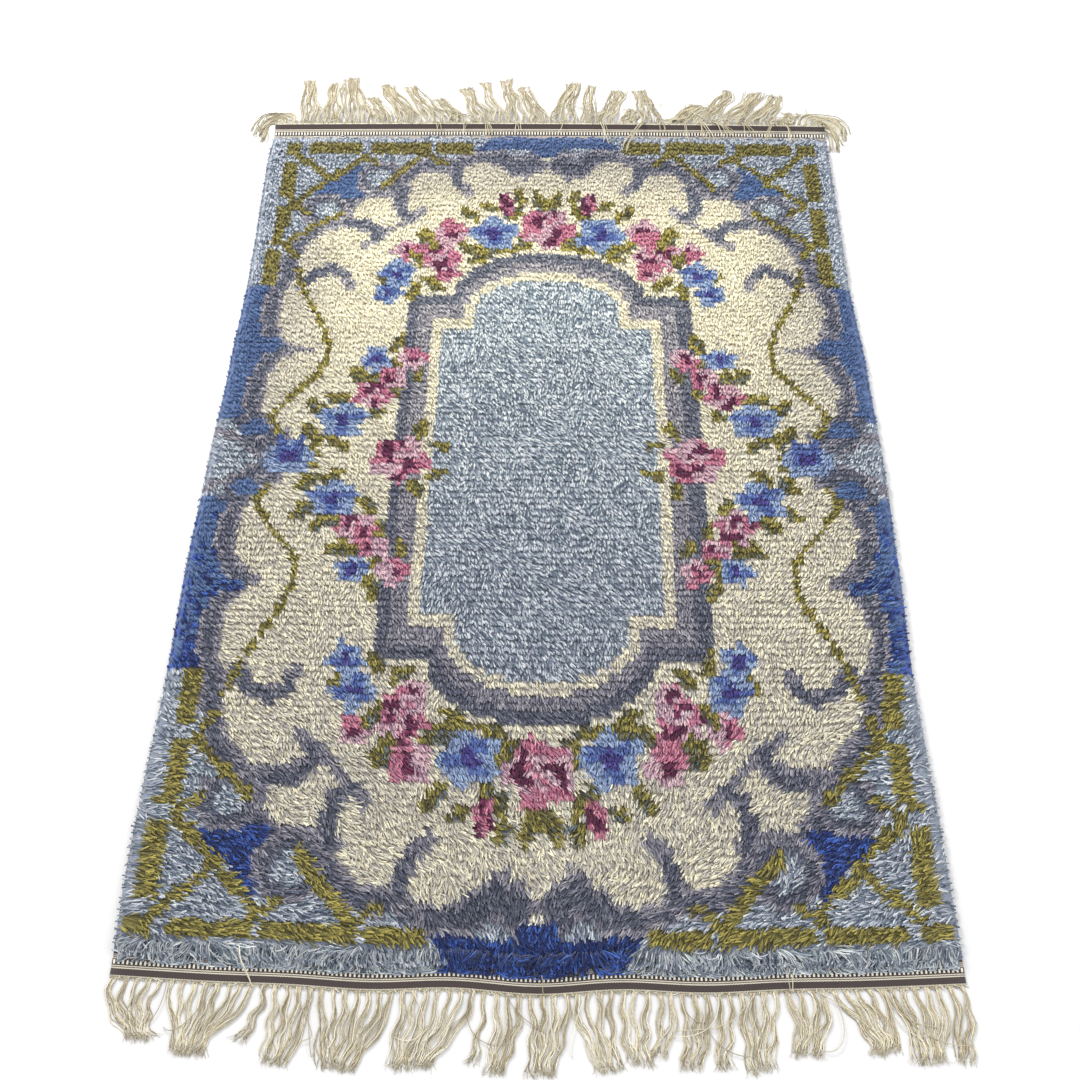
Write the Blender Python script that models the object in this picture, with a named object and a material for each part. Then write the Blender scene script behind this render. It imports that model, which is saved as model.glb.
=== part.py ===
"""Rya rug: a knotted wool pile on a woven ground, with a warp fringe at each end.

Metres, +Z up. The rug lies on the floor with its near end towards -Y and its far end towards +Y.
The sub-parts are the woven ground cloth, the shaggy pile that lies on it, and the fringe of each end.
"""
from collections import namedtuple
from math import copysign, cos, pi
import random

import bmesh
import bpy
from mathutils import Vector, noise

MM = 0.001

# Ground cloth
WIDTH = 1.100
PILE_LENGTH = 1.633
BAND = 0.032
CLOTH_THICK = 0.003
NEAR_BOW = 0.016
NEAR_RIPPLE = 0.0035
NEAR_RIPPLE_LENGTH = 0.23
FAR_BOW = 0.005
FAR_REACH = 0.007
FAR_LIFT = 0.014
FAR_LIFT_POWER = 1.6
CLOTH_COLUMNS = 22
BAND_ROWS = 5
CLOTH_COLOR = (0.40, 0.36, 0.31)
CLOTH_ROUGHNESS = 0.9

# Pile
GAP = 0.0003
WALL_TOP = 0.0105
SHOULDER_TOP = 0.0165
CROWN_TOP = 0.0200
NEAR_RISE = 0.0020
LUMP = 0.0045
LUMP_SIZE = 0.075
LUMP_SEED = 3.7
PILE_INSET = 0.001
SHOULDER_INSET = 0.009
CROWN_INSET = 0.030
CROWN_COLUMNS = 24
CROWN_ROWS = 36
SIDE_STEPS = 111
END_STEPS = 53
PILE_COLOR = (0.66, 0.64, 0.55)
PILE_ROUGHNESS = 0.95

# Locks at the rim of the pile
LOCK_SEED = 11
LOCK_WIDTH = 0.0062
LOCK_TIP_WIDTH = 0.0034
LOCK_WAIST = 0.45
LOCK_LIFT = 0.0012
LOCK_THICK = 0.0048
LOCK_TIP_THICK = 0.0030

# Fringe
BUNDLES = 74
FRINGE_SEED = 5
STRIP_DEPTH = 0.003
BUNDLE_WIDTH = 0.0068
BUNDLE_TIP_WIDTH = 0.0052
BUNDLE_HEIGHT = 0.0036
BUNDLE_STATIONS = (0.14, 0.36, 0.58, 0.80, 1.0)
BUNDLE_SHORTEST = 0.93
BOW_AT = 0.40
STRAIGHT_TIP = 0.30
TIP_BOW = 0.40
TIP_LAG = 0.15
SETTLED_AT = 0.50
SWEEP_CLEAR = 0.016
SWEEP_SPACING = 0.0080
FRINGE_COLOR = (0.62, 0.54, 0.40)
FRINGE_ROUGHNESS = 0.9

HALF_W = WIDTH / 2
HALF_PILE = PILE_LENGTH / 2
HALF_L = HALF_PILE + BAND
PILE_ALONG = HALF_PILE / HALF_L
PILE_FLOOR = CLOTH_THICK + GAP

# How far each side strays outwards, along the rug from its near end (-1) to its far end (1)
SideDrift = namedtuple("SideDrift", "along left_mm right_mm")
SIDE_DRIFT = (
    SideDrift(-1.00, 7, 6),
    SideDrift(-0.80, 11, 5),
    SideDrift(-0.45, 6, 0),
    SideDrift(-0.25, 7, 5),
    SideDrift(0.00, 3, 8),
    SideDrift(0.25, -3, 5),
    SideDrift(0.50, -8, -3),
    SideDrift(0.90, -4, -2),
    SideDrift(1.00, -9, -4),
)

# Rim locks of each run: steps from one to the next, how far they reach, how much that varies,
# how far they may turn aside, and the height of their tips
LockRun = namedtuple("LockRun", "run every reach_mm spread_mm yaw tip_mm")
LOCK_RUNS = (
    LockRun("near", 2, 15, 5, 0.35, 5.2),
    LockRun("right", 2, 9, 3, 0.45, 5.6),
    LockRun("far", 4, 6, 2, 0.30, 8.5),
    LockRun("left", 2, 9, 3, 0.45, 5.6),
)

# Clumps of the fringe from left to right: how many bundles, how far they bow and then drift to the right,
# how much they close up towards their tips, and how far out they reach
Clump = namedtuple("Clump", "bundles bow_mm drift_mm gather reach_mm")
NEAR_CLUMPS = (
    Clump(5, -16, 12, 0.50, 76),
    Clump(8, -4, -18, 0.52, 88),
    Clump(1, 2, -19, 0.00, 72),
    Clump(4, 2, -12, 0.30, 95),
    Clump(7, 3, -16, 0.42, 97),
    Clump(7, 2, -28, 0.30, 98),
    Clump(1, 3, -14, 0.00, 86),
    Clump(3, 5, -11, 0.40, 98),
    Clump(4, 4, -7, 0.30, 97),
    Clump(4, -6, 18, 0.38, 97),
    Clump(3, -6, 3, 0.20, 90),
    Clump(2, 8, -9, 0.20, 82),
    Clump(3, 6, -7, 0.25, 92),
    Clump(2, 8, -6, 0.25, 92),
    Clump(4, 2, -3, 0.35, 97),
    Clump(4, 14, -3, 0.30, 80),
    Clump(5, 16, 28, 0.46, 78),
    Clump(5, 10, 9, 0.42, 93),
    Clump(2, 12, -3, 0.30, 96),
)
FAR_CLUMPS = (
    Clump(3, 2, -14, 0.30, 155),
    Clump(3, -2, -6, 0.25, 149),
    Clump(4, 4, -26, 0.45, 163),
    Clump(3, 6, -28, 0.35, 98),
    Clump(4, 6, -55, 0.42, 140),
    Clump(3, 6, -54, 0.35, 134),
    Clump(3, 8, -37, 0.35, 92),
    Clump(3, 8, -28, 0.30, 131),
    Clump(2, 6, -28, 0.30, 148),
    Clump(3, 4, -20, 0.45, 161),
    Clump(3, 6, -31, 0.45, 132),
    Clump(4, -4, 20, 0.48, 146),
    Clump(2, 4, 12, 0.30, 136),
    Clump(3, 4, 31, 0.35, 120),
    Clump(3, 4, 12, 0.40, 60),
    Clump(3, 12, -14, 0.30, 124),
    Clump(4, 4, 44, 0.42, 77),
    Clump(3, 6, 62, 0.40, 125),
    Clump(4, 6, 66, 0.45, 119),
    Clump(4, 4, 49, 0.42, 109),
    Clump(3, 4, 21, 0.35, 52),
)

# Bundles at the far corners that turn round and come back beside the cloth
Sweep = namedtuple("Sweep", "side bundles crest_mm crest_step_mm tip_mm tip_step_mm")
FAR_SWEEPS = (
    Sweep(-1, 3, 30, 16, -40, 14),
    Sweep(1, 4, 26, 13, -66, 17),
)

Station = namedtuple("Station", "middle sideways half low high")


def smooth(t):
    """Rises from 0 to 1 with level ends."""
    t = min(max(t, 0.0), 1.0)
    return t * t * (3 - 2 * t)


def mix(a, b, t):
    return a * (1 - t) + b * t


def side_drift(along, side):
    """How far the left (-1) or right (1) side strays outwards here."""
    column = "left_mm" if side < 0 else "right_mm"
    for low, high in zip(SIDE_DRIFT, SIDE_DRIFT[1:]):
        if along <= high.along:
            part = smooth((along - low.along) / (high.along - low.along))
            return MM * mix(getattr(low, column), getattr(high, column), part)
    return MM * getattr(SIDE_DRIFT[-1], column)


def end_bow(across, end):
    """How far the near (-1) or far (1) end bows outwards here."""
    crown = 1 - across * across
    if end > 0:
        return FAR_REACH + FAR_BOW * crown
    ripple = NEAR_RIPPLE * crown ** 3 * cos(2 * pi * across * HALF_W / NEAR_RIPPLE_LENGTH)
    return NEAR_BOW * crown + ripple


def place(across, along):
    """The point of the rug at a share of its width (-1 left to 1 right) and length (-1 near to 1 far)."""
    side = copysign(1, across)
    end = copysign(1, along)
    x = across * (HALF_W + side_drift(along, side))
    y = along * HALF_L + end * abs(along) * end_bow(across, end)
    return Vector((x, y, 0))


def hem(across, end):
    """A point on the cloth's end edge, which runs straight from one column of the cloth to the next."""
    column = min(int((across + 1) / 2 * CLOTH_COLUMNS), CLOTH_COLUMNS - 1)
    left = -1 + 2 * column / CLOTH_COLUMNS
    right = left + 2 / CLOTH_COLUMNS
    return place(left, end).lerp(place(right, end), (across - left) / (right - left))


def far_lift(along):
    """How high the far band curls off the floor."""
    share = max(along - PILE_ALONG, 0) / (1 - PILE_ALONG)
    return FAR_LIFT * share ** FAR_LIFT_POWER


def at_height(point, z):
    return Vector((point.x, point.y, z))


def finish(name, bm, color, roughness):
    """Makes the body an object with its own plain material."""
    bmesh.ops.recalc_face_normals(bm, faces=bm.faces)
    mesh = bpy.data.meshes.new(name)
    bm.to_mesh(mesh)
    bm.free()
    material = bpy.data.materials.new(name)
    material.use_nodes = True
    shader = material.node_tree.nodes["Principled BSDF"]
    shader.inputs["Base Color"].default_value = (*color, 1)
    shader.inputs["Roughness"].default_value = roughness
    mesh.materials.append(material)
    obj = bpy.data.objects.new(name, mesh)
    bpy.context.collection.objects.link(obj)
    return obj


def spread(low, high, steps):
    return [mix(low, high, k / steps) for k in range(steps + 1)]


def rim_of(grid):
    """The outer ring of a grid of vertices, in order."""
    near = grid[0]
    right = [row[-1] for row in grid[1:]]
    far = grid[-1][-2::-1]
    left = [row[0] for row in grid[-2:0:-1]]
    return near + right + far + left


def fill_grid(bm, grid):
    for row, next_row in zip(grid, grid[1:]):
        for k in range(len(row) - 1):
            bm.faces.new((row[k], row[k + 1], next_row[k + 1], next_row[k]))


def band_between(bm, lower, upper):
    """Faces between two rings of the same count; returns them in ring order."""
    count = len(lower)
    return [bm.faces.new((lower[k], lower[(k + 1) % count], upper[(k + 1) % count], upper[k]))
            for k in range(count)]


def build_cloth():
    """One thin sheet: flat under the pile and at the near band, its far band curling up a little."""
    columns = spread(-1, 1, CLOTH_COLUMNS)
    middle_rows = [drift.along for drift in SIDE_DRIFT if abs(drift.along) < PILE_ALONG]
    rows = [-1] + [-PILE_ALONG] + middle_rows + spread(PILE_ALONG, 1, BAND_ROWS)
    bm = bmesh.new()
    under = [[bm.verts.new(at_height(place(c, r), far_lift(r))) for c in columns] for r in rows]
    over = [[bm.verts.new(v.co + Vector((0, 0, CLOTH_THICK))) for v in row] for row in under]
    fill_grid(bm, under)
    fill_grid(bm, over)
    band_between(bm, rim_of(under), rim_of(over))
    return finish("ground_cloth", bm, CLOTH_COLOR, CLOTH_ROUGHNESS)


def rim_points():
    """The pile's outline as (across, along, run), anticlockwise from the near left corner."""
    across = 1 - PILE_INSET / HALF_W
    along = PILE_ALONG
    near = [(c, -along, "near") for c in spread(-across, across, END_STEPS)[:-1]]
    right = [(across, a, "right") for a in spread(-along, along, SIDE_STEPS)[:-1]]
    far = [(c, along, "far") for c in spread(across, -across, END_STEPS)[:-1]]
    left = [(-across, a, "left") for a in spread(along, -along, SIDE_STEPS)[:-1]]
    return near + right + far + left


def inset(across, along, distance):
    """The same place of the rug, drawn in from its rim."""
    return across * (1 - distance / HALF_W), along * (1 - distance / HALF_PILE)


def crown_height(point, along):
    """The lumpy top of the pile, a little taller at the near end where the shag is longest."""
    lumps = noise.noise(Vector((point.x / LUMP_SIZE, point.y / LUMP_SIZE, LUMP_SEED)))
    return CROWN_TOP + LUMP * lumps + NEAR_RISE * smooth(-along)


def split_ring(ring, counts):
    """The ring's four runs, each with both its corners."""
    start = 0
    for count in counts:
        yield [ring[(start + k) % len(ring)] for k in range(count + 1)]
        start += count


def join_runs(bm, outer, inner):
    """Closes the gap between two rows of different counts with triangles, walking along both."""
    i = 0
    j = 0
    last_outer = len(outer) - 1
    last_inner = len(inner) - 1
    while i < last_outer or j < last_inner:
        a = outer[i]
        b = inner[j]
        if i * last_inner <= j * last_outer:
            i += 1
            bm.faces.new((a, outer[i], b))
        else:
            j += 1
            bm.faces.new((a, inner[j], b))


def grow(bm, face, stations):
    """Draws a four-sided strand out of a face, through its stations."""
    for station in stations:
        face = bmesh.ops.extrude_discrete_faces(bm, faces=[face])["faces"][0]
        middle = face.calc_center_median()
        for vert in face.verts:
            side = copysign(1, (vert.co - middle).dot(station.sideways))
            height = station.high if vert.co.z > middle.z else station.low
            vert.co = at_height(station.middle + station.sideways * side * station.half, height)


def lock_stations(start, outwards, reach, tip_height):
    """A tapering lock that leaves the rim and hangs a little towards its tip."""
    sideways = Vector((-outwards.y, outwards.x, 0))
    waist = start + outwards * reach * LOCK_WAIST
    tip = start + outwards * reach
    base = PILE_FLOOR + LOCK_LIFT
    return [
        Station(waist, sideways, LOCK_WIDTH / 2, base, base + LOCK_THICK),
        Station(tip, sideways, LOCK_TIP_WIDTH / 2, tip_height - LOCK_TIP_THICK / 2,
                tip_height + LOCK_TIP_THICK / 2),
    ]


def build_pile():
    """A lumpy slab on the cloth, with locks of pile standing out of its rim."""
    chance = random.Random(LOCK_SEED)
    points = rim_points()
    bm = bmesh.new()

    floor_ring = [bm.verts.new(at_height(place(c, a), PILE_FLOOR)) for c, a, run in points]
    wall_ring = [bm.verts.new(at_height(v.co, WALL_TOP)) for v in floor_ring]
    shoulders = [place(*inset(c, a, SHOULDER_INSET)) for c, a, run in points]
    shoulder_ring = [bm.verts.new(at_height(p, SHOULDER_TOP)) for p in shoulders]
    bm.faces.new(floor_ring)
    wall = band_between(bm, floor_ring, wall_ring)
    band_between(bm, wall_ring, shoulder_ring)

    reach_across, reach_along = inset(1, PILE_ALONG, CROWN_INSET)
    crown = []
    for along in spread(-reach_along, reach_along, CROWN_ROWS):
        row = [place(across, along) for across in spread(-reach_across, reach_across, CROWN_COLUMNS)]
        crown.append([bm.verts.new(at_height(p, crown_height(p, along))) for p in row])
    fill_grid(bm, crown)
    outer_runs = split_ring(shoulder_ring, (END_STEPS, SIDE_STEPS, END_STEPS, SIDE_STEPS))
    inner_runs = split_ring(rim_of(crown), (CROWN_COLUMNS, CROWN_ROWS, CROWN_COLUMNS, CROWN_ROWS))
    for outer, inner in zip(outer_runs, inner_runs):
        join_runs(bm, outer, inner)

    for run in LOCK_RUNS:
        members = [k for k, point in enumerate(points) if point[2] == run.run]
        for k in members[1:-1:run.every]:
            start = wall[k].calc_center_median()
            edge = floor_ring[(k + 1) % len(floor_ring)].co - floor_ring[k].co
            yaw = chance.uniform(-run.yaw, run.yaw)
            outwards = (Vector((edge.y, -edge.x, 0)).normalized() + yaw * edge.normalized()).normalized()
            reach = MM * (run.reach_mm + chance.uniform(-run.spread_mm, run.spread_mm))
            grow(bm, wall[k], lock_stations(start, outwards, reach, MM * run.tip_mm))
    return finish("pile", bm, PILE_COLOR, PILE_ROUGHNESS)


def bezier(points, t):
    a, b, c, d = points
    s = 1 - t
    return s ** 3 * a + 3 * s * s * t * b + 3 * s * t * t * c + t ** 3 * d


def bezier_heading(points, t):
    a, b, c, d = points
    s = 1 - t
    return (3 * s * s * (b - a) + 6 * s * t * (c - b) + 3 * t * t * (d - c)).normalized()


def root(index, end):
    """Where a bundle leaves the strip at the cloth's edge."""
    across = -1 + 2 * (index + 0.5) / BUNDLES
    return hem(across, end) + Vector((0, end * (GAP + STRIP_DEPTH), 0))


def clump_routes(clumps, first, end):
    """The plan curve of each bundle of the clumps, four control points each, from left to right."""
    chance = random.Random(FRINGE_SEED + end)
    out = Vector((0, end, 0))
    right = Vector((1, 0, 0))
    routes = []
    for clump in clumps:
        roots = [root(first + k, end) for k in range(clump.bundles)]
        first += clump.bundles
        middle = sum(p.x for p in roots) / len(roots)
        for start in roots:
            reach = MM * clump.reach_mm * chance.uniform(BUNDLE_SHORTEST, 1)
            bow = MM * clump.bow_mm
            shift = MM * clump.drift_mm - clump.gather * (start.x - middle)
            tip = start + out * reach + right * shift
            routes.append((
                start,
                start + out * reach * BOW_AT + right * bow,
                tip - out * reach * STRAIGHT_TIP + right * (TIP_BOW * bow - TIP_LAG * shift),
                tip,
            ))
    return routes


def sweep_routes(sweep, end):
    """Bundles that turn round a corner, one inside the next, from the corner inwards."""
    side = sweep.side
    out = Vector((0, end, 0))
    routes = []
    for k in range(sweep.bundles):
        index = k if side < 0 else BUNDLES - 1 - k
        start = root(index, end)
        crest = MM * (sweep.crest_mm + k * sweep.crest_step_mm)
        tip_x = side * (HALF_W + SWEEP_CLEAR + k * SWEEP_SPACING)
        tip_y = start.y + out.y * MM * (sweep.tip_mm + k * sweep.tip_step_mm)
        tip = Vector((tip_x, tip_y, 0))
        routes.append((start, start + out * crest, Vector((tip_x, start.y + out.y * crest, 0)), tip))
    return routes if side < 0 else routes[::-1]


def bundle_stations(route, lift):
    """The strand's sections: they leave the strip at its height, settle, and rest level on the floor."""
    stations = []
    for t in BUNDLE_STATIONS:
        heading = bezier_heading(route, t)
        sideways = Vector((-heading.y, heading.x, 0))
        half = mix(BUNDLE_WIDTH, BUNDLE_TIP_WIDTH, t) / 2
        low = lift * (1 - smooth(t / SETTLED_AT))
        stations.append(Station(bezier(route, t), sideways, half, low, low + BUNDLE_HEIGHT))
    return stations


def build_fringe(name, end, routes, lift):
    """A narrow strip along the cloth's edge, with a bundle of warp ends standing out at each place."""
    half = BUNDLE_WIDTH / 2 / HALF_W
    stops = [-1]
    for k in range(BUNDLES):
        centre = -1 + 2 * (k + 0.5) / BUNDLES
        stops += [centre - half, centre + half]
    stops.append(1)
    bm = bmesh.new()
    sections = []
    for across in stops:
        edge = hem(across, end)
        inner = edge + Vector((0, end * GAP, lift))
        outer = inner + Vector((0, end * STRIP_DEPTH, 0))
        top = Vector((0, 0, CLOTH_THICK))
        sections.append([bm.verts.new(p) for p in (inner, outer, outer + top, inner + top)])
    bm.faces.new(sections[0])
    bm.faces.new(sections[-1])
    outer_faces = []
    for left, right in zip(sections, sections[1:]):
        for k in range(4):
            face = bm.faces.new((left[k], right[k], right[(k + 1) % 4], left[(k + 1) % 4]))
            if k == 1:
                outer_faces.append(face)
    bmesh.ops.recalc_face_normals(bm, faces=bm.faces)
    for face, route in zip(outer_faces[1::2], routes):
        grow(bm, face, bundle_stations(route, lift))
    return finish(name, bm, FRINGE_COLOR, FRINGE_ROUGHNESS)


def far_routes():
    left_sweep, right_sweep = FAR_SWEEPS
    middle = clump_routes(FAR_CLUMPS, left_sweep.bundles, 1)
    return sweep_routes(left_sweep, 1) + middle + sweep_routes(right_sweep, 1)


def near_routes():
    return clump_routes(NEAR_CLUMPS, 0, -1)


def centre_over_origin(objects):
    """Shifts everything together so that the rug lies centred on the origin."""
    corners = [vert.co for obj in objects for vert in obj.data.vertices]
    xs = [c.x for c in corners]
    ys = [c.y for c in corners]
    middle = Vector(((min(xs) + max(xs)) / 2, (min(ys) + max(ys)) / 2, 0))
    for obj in objects:
        obj.location -= middle


def main():
    for obj in list(bpy.data.objects):
        bpy.data.objects.remove(obj)
    rug = [
        build_cloth(),
        build_pile(),
        build_fringe("fringe_near", -1, near_routes(), 0.0),
        build_fringe("fringe_far", 1, far_routes(), FAR_LIFT),
    ]
    centre_over_origin(rug)


main()
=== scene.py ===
# %% [markdown]
# # A hand-knotted shag rug with a flower medallion
# The real rug is made of three things. A narrow linen cloth is woven first, with a striped band at
# each end. While it is on the loom, short ends of thick wool are knotted into it, row by row, until
# they hide it: that is the pile, and the pattern is nothing but the colour of each knot. When the
# rug is cut from the loom, the warp ends that are left over are bundled into a fringe.
# This lesson builds the rug in the same order, so every strand of wool is a real little shape.

from collections import namedtuple
from math import cos, pi, radians, sin
import random

import bpy
import numpy as np
from mathutils import Matrix, Vector, noise


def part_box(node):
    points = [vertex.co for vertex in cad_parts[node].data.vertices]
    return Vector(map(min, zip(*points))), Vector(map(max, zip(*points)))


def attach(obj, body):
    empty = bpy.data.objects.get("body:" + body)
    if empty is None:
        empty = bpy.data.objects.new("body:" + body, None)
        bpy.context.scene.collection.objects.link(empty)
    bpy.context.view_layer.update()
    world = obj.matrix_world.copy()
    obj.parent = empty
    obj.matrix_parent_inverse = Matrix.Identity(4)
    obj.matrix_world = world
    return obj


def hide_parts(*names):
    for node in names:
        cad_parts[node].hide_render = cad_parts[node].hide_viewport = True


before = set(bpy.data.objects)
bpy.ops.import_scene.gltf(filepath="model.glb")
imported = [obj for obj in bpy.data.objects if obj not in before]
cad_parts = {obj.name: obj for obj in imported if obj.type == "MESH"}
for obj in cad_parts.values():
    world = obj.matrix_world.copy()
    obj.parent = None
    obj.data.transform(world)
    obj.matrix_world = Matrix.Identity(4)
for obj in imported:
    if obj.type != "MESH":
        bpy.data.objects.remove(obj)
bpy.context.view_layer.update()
print("nodes:", sorted(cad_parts))

# %% [markdown]
# ## The rug's own coordinates
# A rug that has been used is never a true rectangle: its sides wander in and out, and the near end
# bows. Instead of placing each knot by hand, we name a place by its share of the width and of the
# length, from -1 to 1, and let one function turn that into metres. Everything that follows, from
# the woven band to the last strand, asks the same function, so all of it wanders together.

# %% Sizes of the rug, in metres
MM = 0.001
WIDTH = 1.100
PILE_LENGTH = 1.633
BAND = 0.032
CLOTH_THICK = 0.003
NEAR_BOW = 0.016
NEAR_RIPPLE = 0.0035
NEAR_RIPPLE_LENGTH = 0.23
FAR_BOW = 0.005
FAR_REACH = 0.007
FAR_LIFT = 0.014
FAR_LIFT_POWER = 1.6
HALF_W = WIDTH / 2
HALF_PILE = PILE_LENGTH / 2
HALF_L = HALF_PILE + BAND
PILE_ALONG = HALF_PILE / HALF_L
SHIFT_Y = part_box("ground_cloth")[1].y - HALF_L - FAR_BOW - FAR_REACH

SideDrift = namedtuple("SideDrift", "along left_mm right_mm")
SIDE_DRIFT = (
    SideDrift(-1.00, 7, 6),
    SideDrift(-0.80, 11, 5),
    SideDrift(-0.45, 6, 0),
    SideDrift(-0.25, 7, 5),
    SideDrift(0.00, 3, 8),
    SideDrift(0.25, -3, 5),
    SideDrift(0.50, -8, -3),
    SideDrift(0.90, -4, -2),
    SideDrift(1.00, -9, -4),
)
print(f"cloth {WIDTH:.2f} m by {2 * HALF_L:.3f} m, shifted {SHIFT_Y * 1000:.1f} mm along Y")


# %% From a share of the rug to metres
def smooth(t):
    """Rises from 0 to 1 with level ends, for a number or an array."""
    t = np.clip(t, 0.0, 1.0)
    return t * t * (3 - 2 * t)


def mix(a, b, t):
    return a * (1 - t) + b * t


def between_rows(table, along):
    """The table's next row for each place along the rug, and how far the place is towards it."""
    stops = np.array([row.along for row in table])
    k = np.clip(np.searchsorted(stops, along), 1, len(stops) - 1)
    return k, smooth((along - stops[k - 1]) / (stops[k] - stops[k - 1]))


def side_drift(along, across):
    """How far the side strays outwards, in metres: the left one where across is negative."""
    k, t = between_rows(SIDE_DRIFT, along)
    left = np.array([row.left_mm for row in SIDE_DRIFT])
    right = np.array([row.right_mm for row in SIDE_DRIFT])
    left_here = mix(left[k - 1], left[k], t)
    right_here = mix(right[k - 1], right[k], t)
    return MM * np.where(np.asarray(across) < 0, left_here, right_here)


def end_bow(across, along):
    """How far the end bows outwards: the near one where along is negative."""
    crown = 1 - across * across
    ripple = NEAR_RIPPLE * crown ** 3 * np.cos(2 * pi * across * HALF_W / NEAR_RIPPLE_LENGTH)
    return np.where(np.asarray(along) > 0, FAR_REACH + FAR_BOW * crown, NEAR_BOW * crown + ripple)


def place(across, along):
    """The points of the rug, in metres, at shares of its width and length; z is 0."""
    across, along = np.broadcast_arrays(np.asarray(across, float), np.asarray(along, float))
    x = across * (HALF_W + side_drift(along, across))
    y = along * HALF_L + np.sign(along) * np.abs(along) * end_bow(across, along) + SHIFT_Y
    return np.stack((x, y, np.zeros_like(x)), axis=-1)


def far_lift(along):
    """How high the far band curls off the floor."""
    share = np.maximum(np.asarray(along, float) - PILE_ALONG, 0) / (1 - PILE_ALONG)
    return FAR_LIFT * share ** FAR_LIFT_POWER


near_left, far_right = place(-1, -1), place(1, 1)
print("near left corner", near_left.round(3), "far right corner", far_right.round(3))

# %% [markdown]
# ## Camera, floor and light
# The rug lies on a white studio floor and is seen from above its near end, a little to the right.
# The camera's place and lens were fitted to six spots of the rug in the photograph. Big soft area
# lights and a bright sky give the pale, nearly shadowless look; one light is stronger and lower, so
# that each strand of wool still gets a bright and a dark side.

# %% Camera
CAMERA_AT = (0.019, -1.476 + SHIFT_Y, 1.859)
CAMERA_PITCH = 54.36
CAMERA_YAW = -1.01
CAMERA_ROLL = -0.41
CAMERA_LENS = 48.1
SENSOR = 36.0


def add_camera():
    data = bpy.data.cameras.new("photo_camera")
    data.lens = CAMERA_LENS
    data.sensor_width = SENSOR
    camera = bpy.data.objects.new("photo_camera", data)
    pitch, yaw, roll = radians(CAMERA_PITCH), radians(CAMERA_YAW), radians(CAMERA_ROLL)
    ahead = Vector((sin(yaw) * cos(pitch), cos(yaw) * cos(pitch), -sin(pitch)))
    level = Vector((cos(yaw), -sin(yaw), 0))
    above = level.cross(ahead)
    right = cos(roll) * level + sin(roll) * above
    up = cos(roll) * above - sin(roll) * level
    turn = Matrix((right, up, -ahead)).transposed()
    camera.matrix_world = Matrix.Translation(CAMERA_AT) @ turn.to_4x4()
    bpy.context.collection.objects.link(camera)
    bpy.context.scene.camera = camera


add_camera()
print("camera at", CAMERA_AT)

# %% Floor and lights
FLOOR_SIZE = 30.0
FLOOR_COLOR = (0.68, 0.671, 0.666, 1)
SKY_COLOR = (0.96, 0.98, 1.0, 1)
SKY_STRENGTH = 1.08

Lamp = namedtuple("Lamp", "name at target size power color")
LAMPS = (
    Lamp("key", (-1.3, 1.9, 2.1), (0, 0.2, 0), 1.1, 90, (1.0, 0.985, 0.96)),
    Lamp("fill", (2.6, -0.6, 2.6), (0, 0, 0), 2.2, 30, (0.96, 0.98, 1.0)),
)


def add_lamp(lamp):
    data = bpy.data.lights.new(lamp.name, "AREA")
    data.size = lamp.size
    data.energy = lamp.power
    data.color = lamp.color
    obj = bpy.data.objects.new(lamp.name, data)
    obj.location = lamp.at
    obj.rotation_euler = (Vector(lamp.target) - Vector(lamp.at)).to_track_quat("-Z", "Y").to_euler()
    bpy.context.collection.objects.link(obj)


def add_floor():
    mesh = bpy.data.meshes.new("floor")
    half = FLOOR_SIZE / 2
    corners = [(-half, -half, 0), (half, -half, 0), (half, half, 0), (-half, half, 0)]
    mesh.from_pydata(corners, [], [(0, 1, 2, 3)])
    material = bpy.data.materials.new("floor_white")
    material.use_nodes = True
    shader = material.node_tree.nodes["Principled BSDF"]
    shader.inputs["Base Color"].default_value = FLOOR_COLOR
    shader.inputs["Roughness"].default_value = 1.0
    mesh.materials.append(material)
    floor = bpy.data.objects.new("floor", mesh)
    bpy.context.collection.objects.link(floor)


def set_sky():
    world = bpy.data.worlds.new("studio")
    world.use_nodes = True
    background = world.node_tree.nodes["Background"]
    background.inputs["Color"].default_value = SKY_COLOR
    background.inputs["Strength"].default_value = SKY_STRENGTH
    bpy.context.scene.world = world
    bpy.context.scene.view_settings.view_transform = "Standard"


for lamp in LAMPS:
    add_lamp(lamp)
add_floor()
set_sky()
print(len(LAMPS), "soft lights and a pale sky")


# %% [markdown]
# ## Building many small things at once
# A rug has tens of thousands of strands, and making them one at a time would take minutes. With
# arrays we work out all their points in a few lines, then hand them to Blender as one mesh. The
# helpers here only need the corner points and, for each face, which points it joins.
# Each face also gets a place on a small chart of colours, its UV map. All strands of one shade share
# one column of that chart: left to right goes round the strand, bottom to top goes from its root to
# its tip. The wool's material paints that column once, and a hundred thousand strands wear it.

# %% Meshes from arrays
YARN_MAP = "OFBake"


def linear(channel):
    """From the 0 to 255 that a dyer's card gives to the linear light that a shader wants."""
    c = channel / 255
    return c / 12.92 if c <= 0.04045 else ((c + 0.055) / 1.055) ** 2.4


def dye(red, green, blue):
    return (linear(red), linear(green), linear(blue), 1.0)


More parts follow.
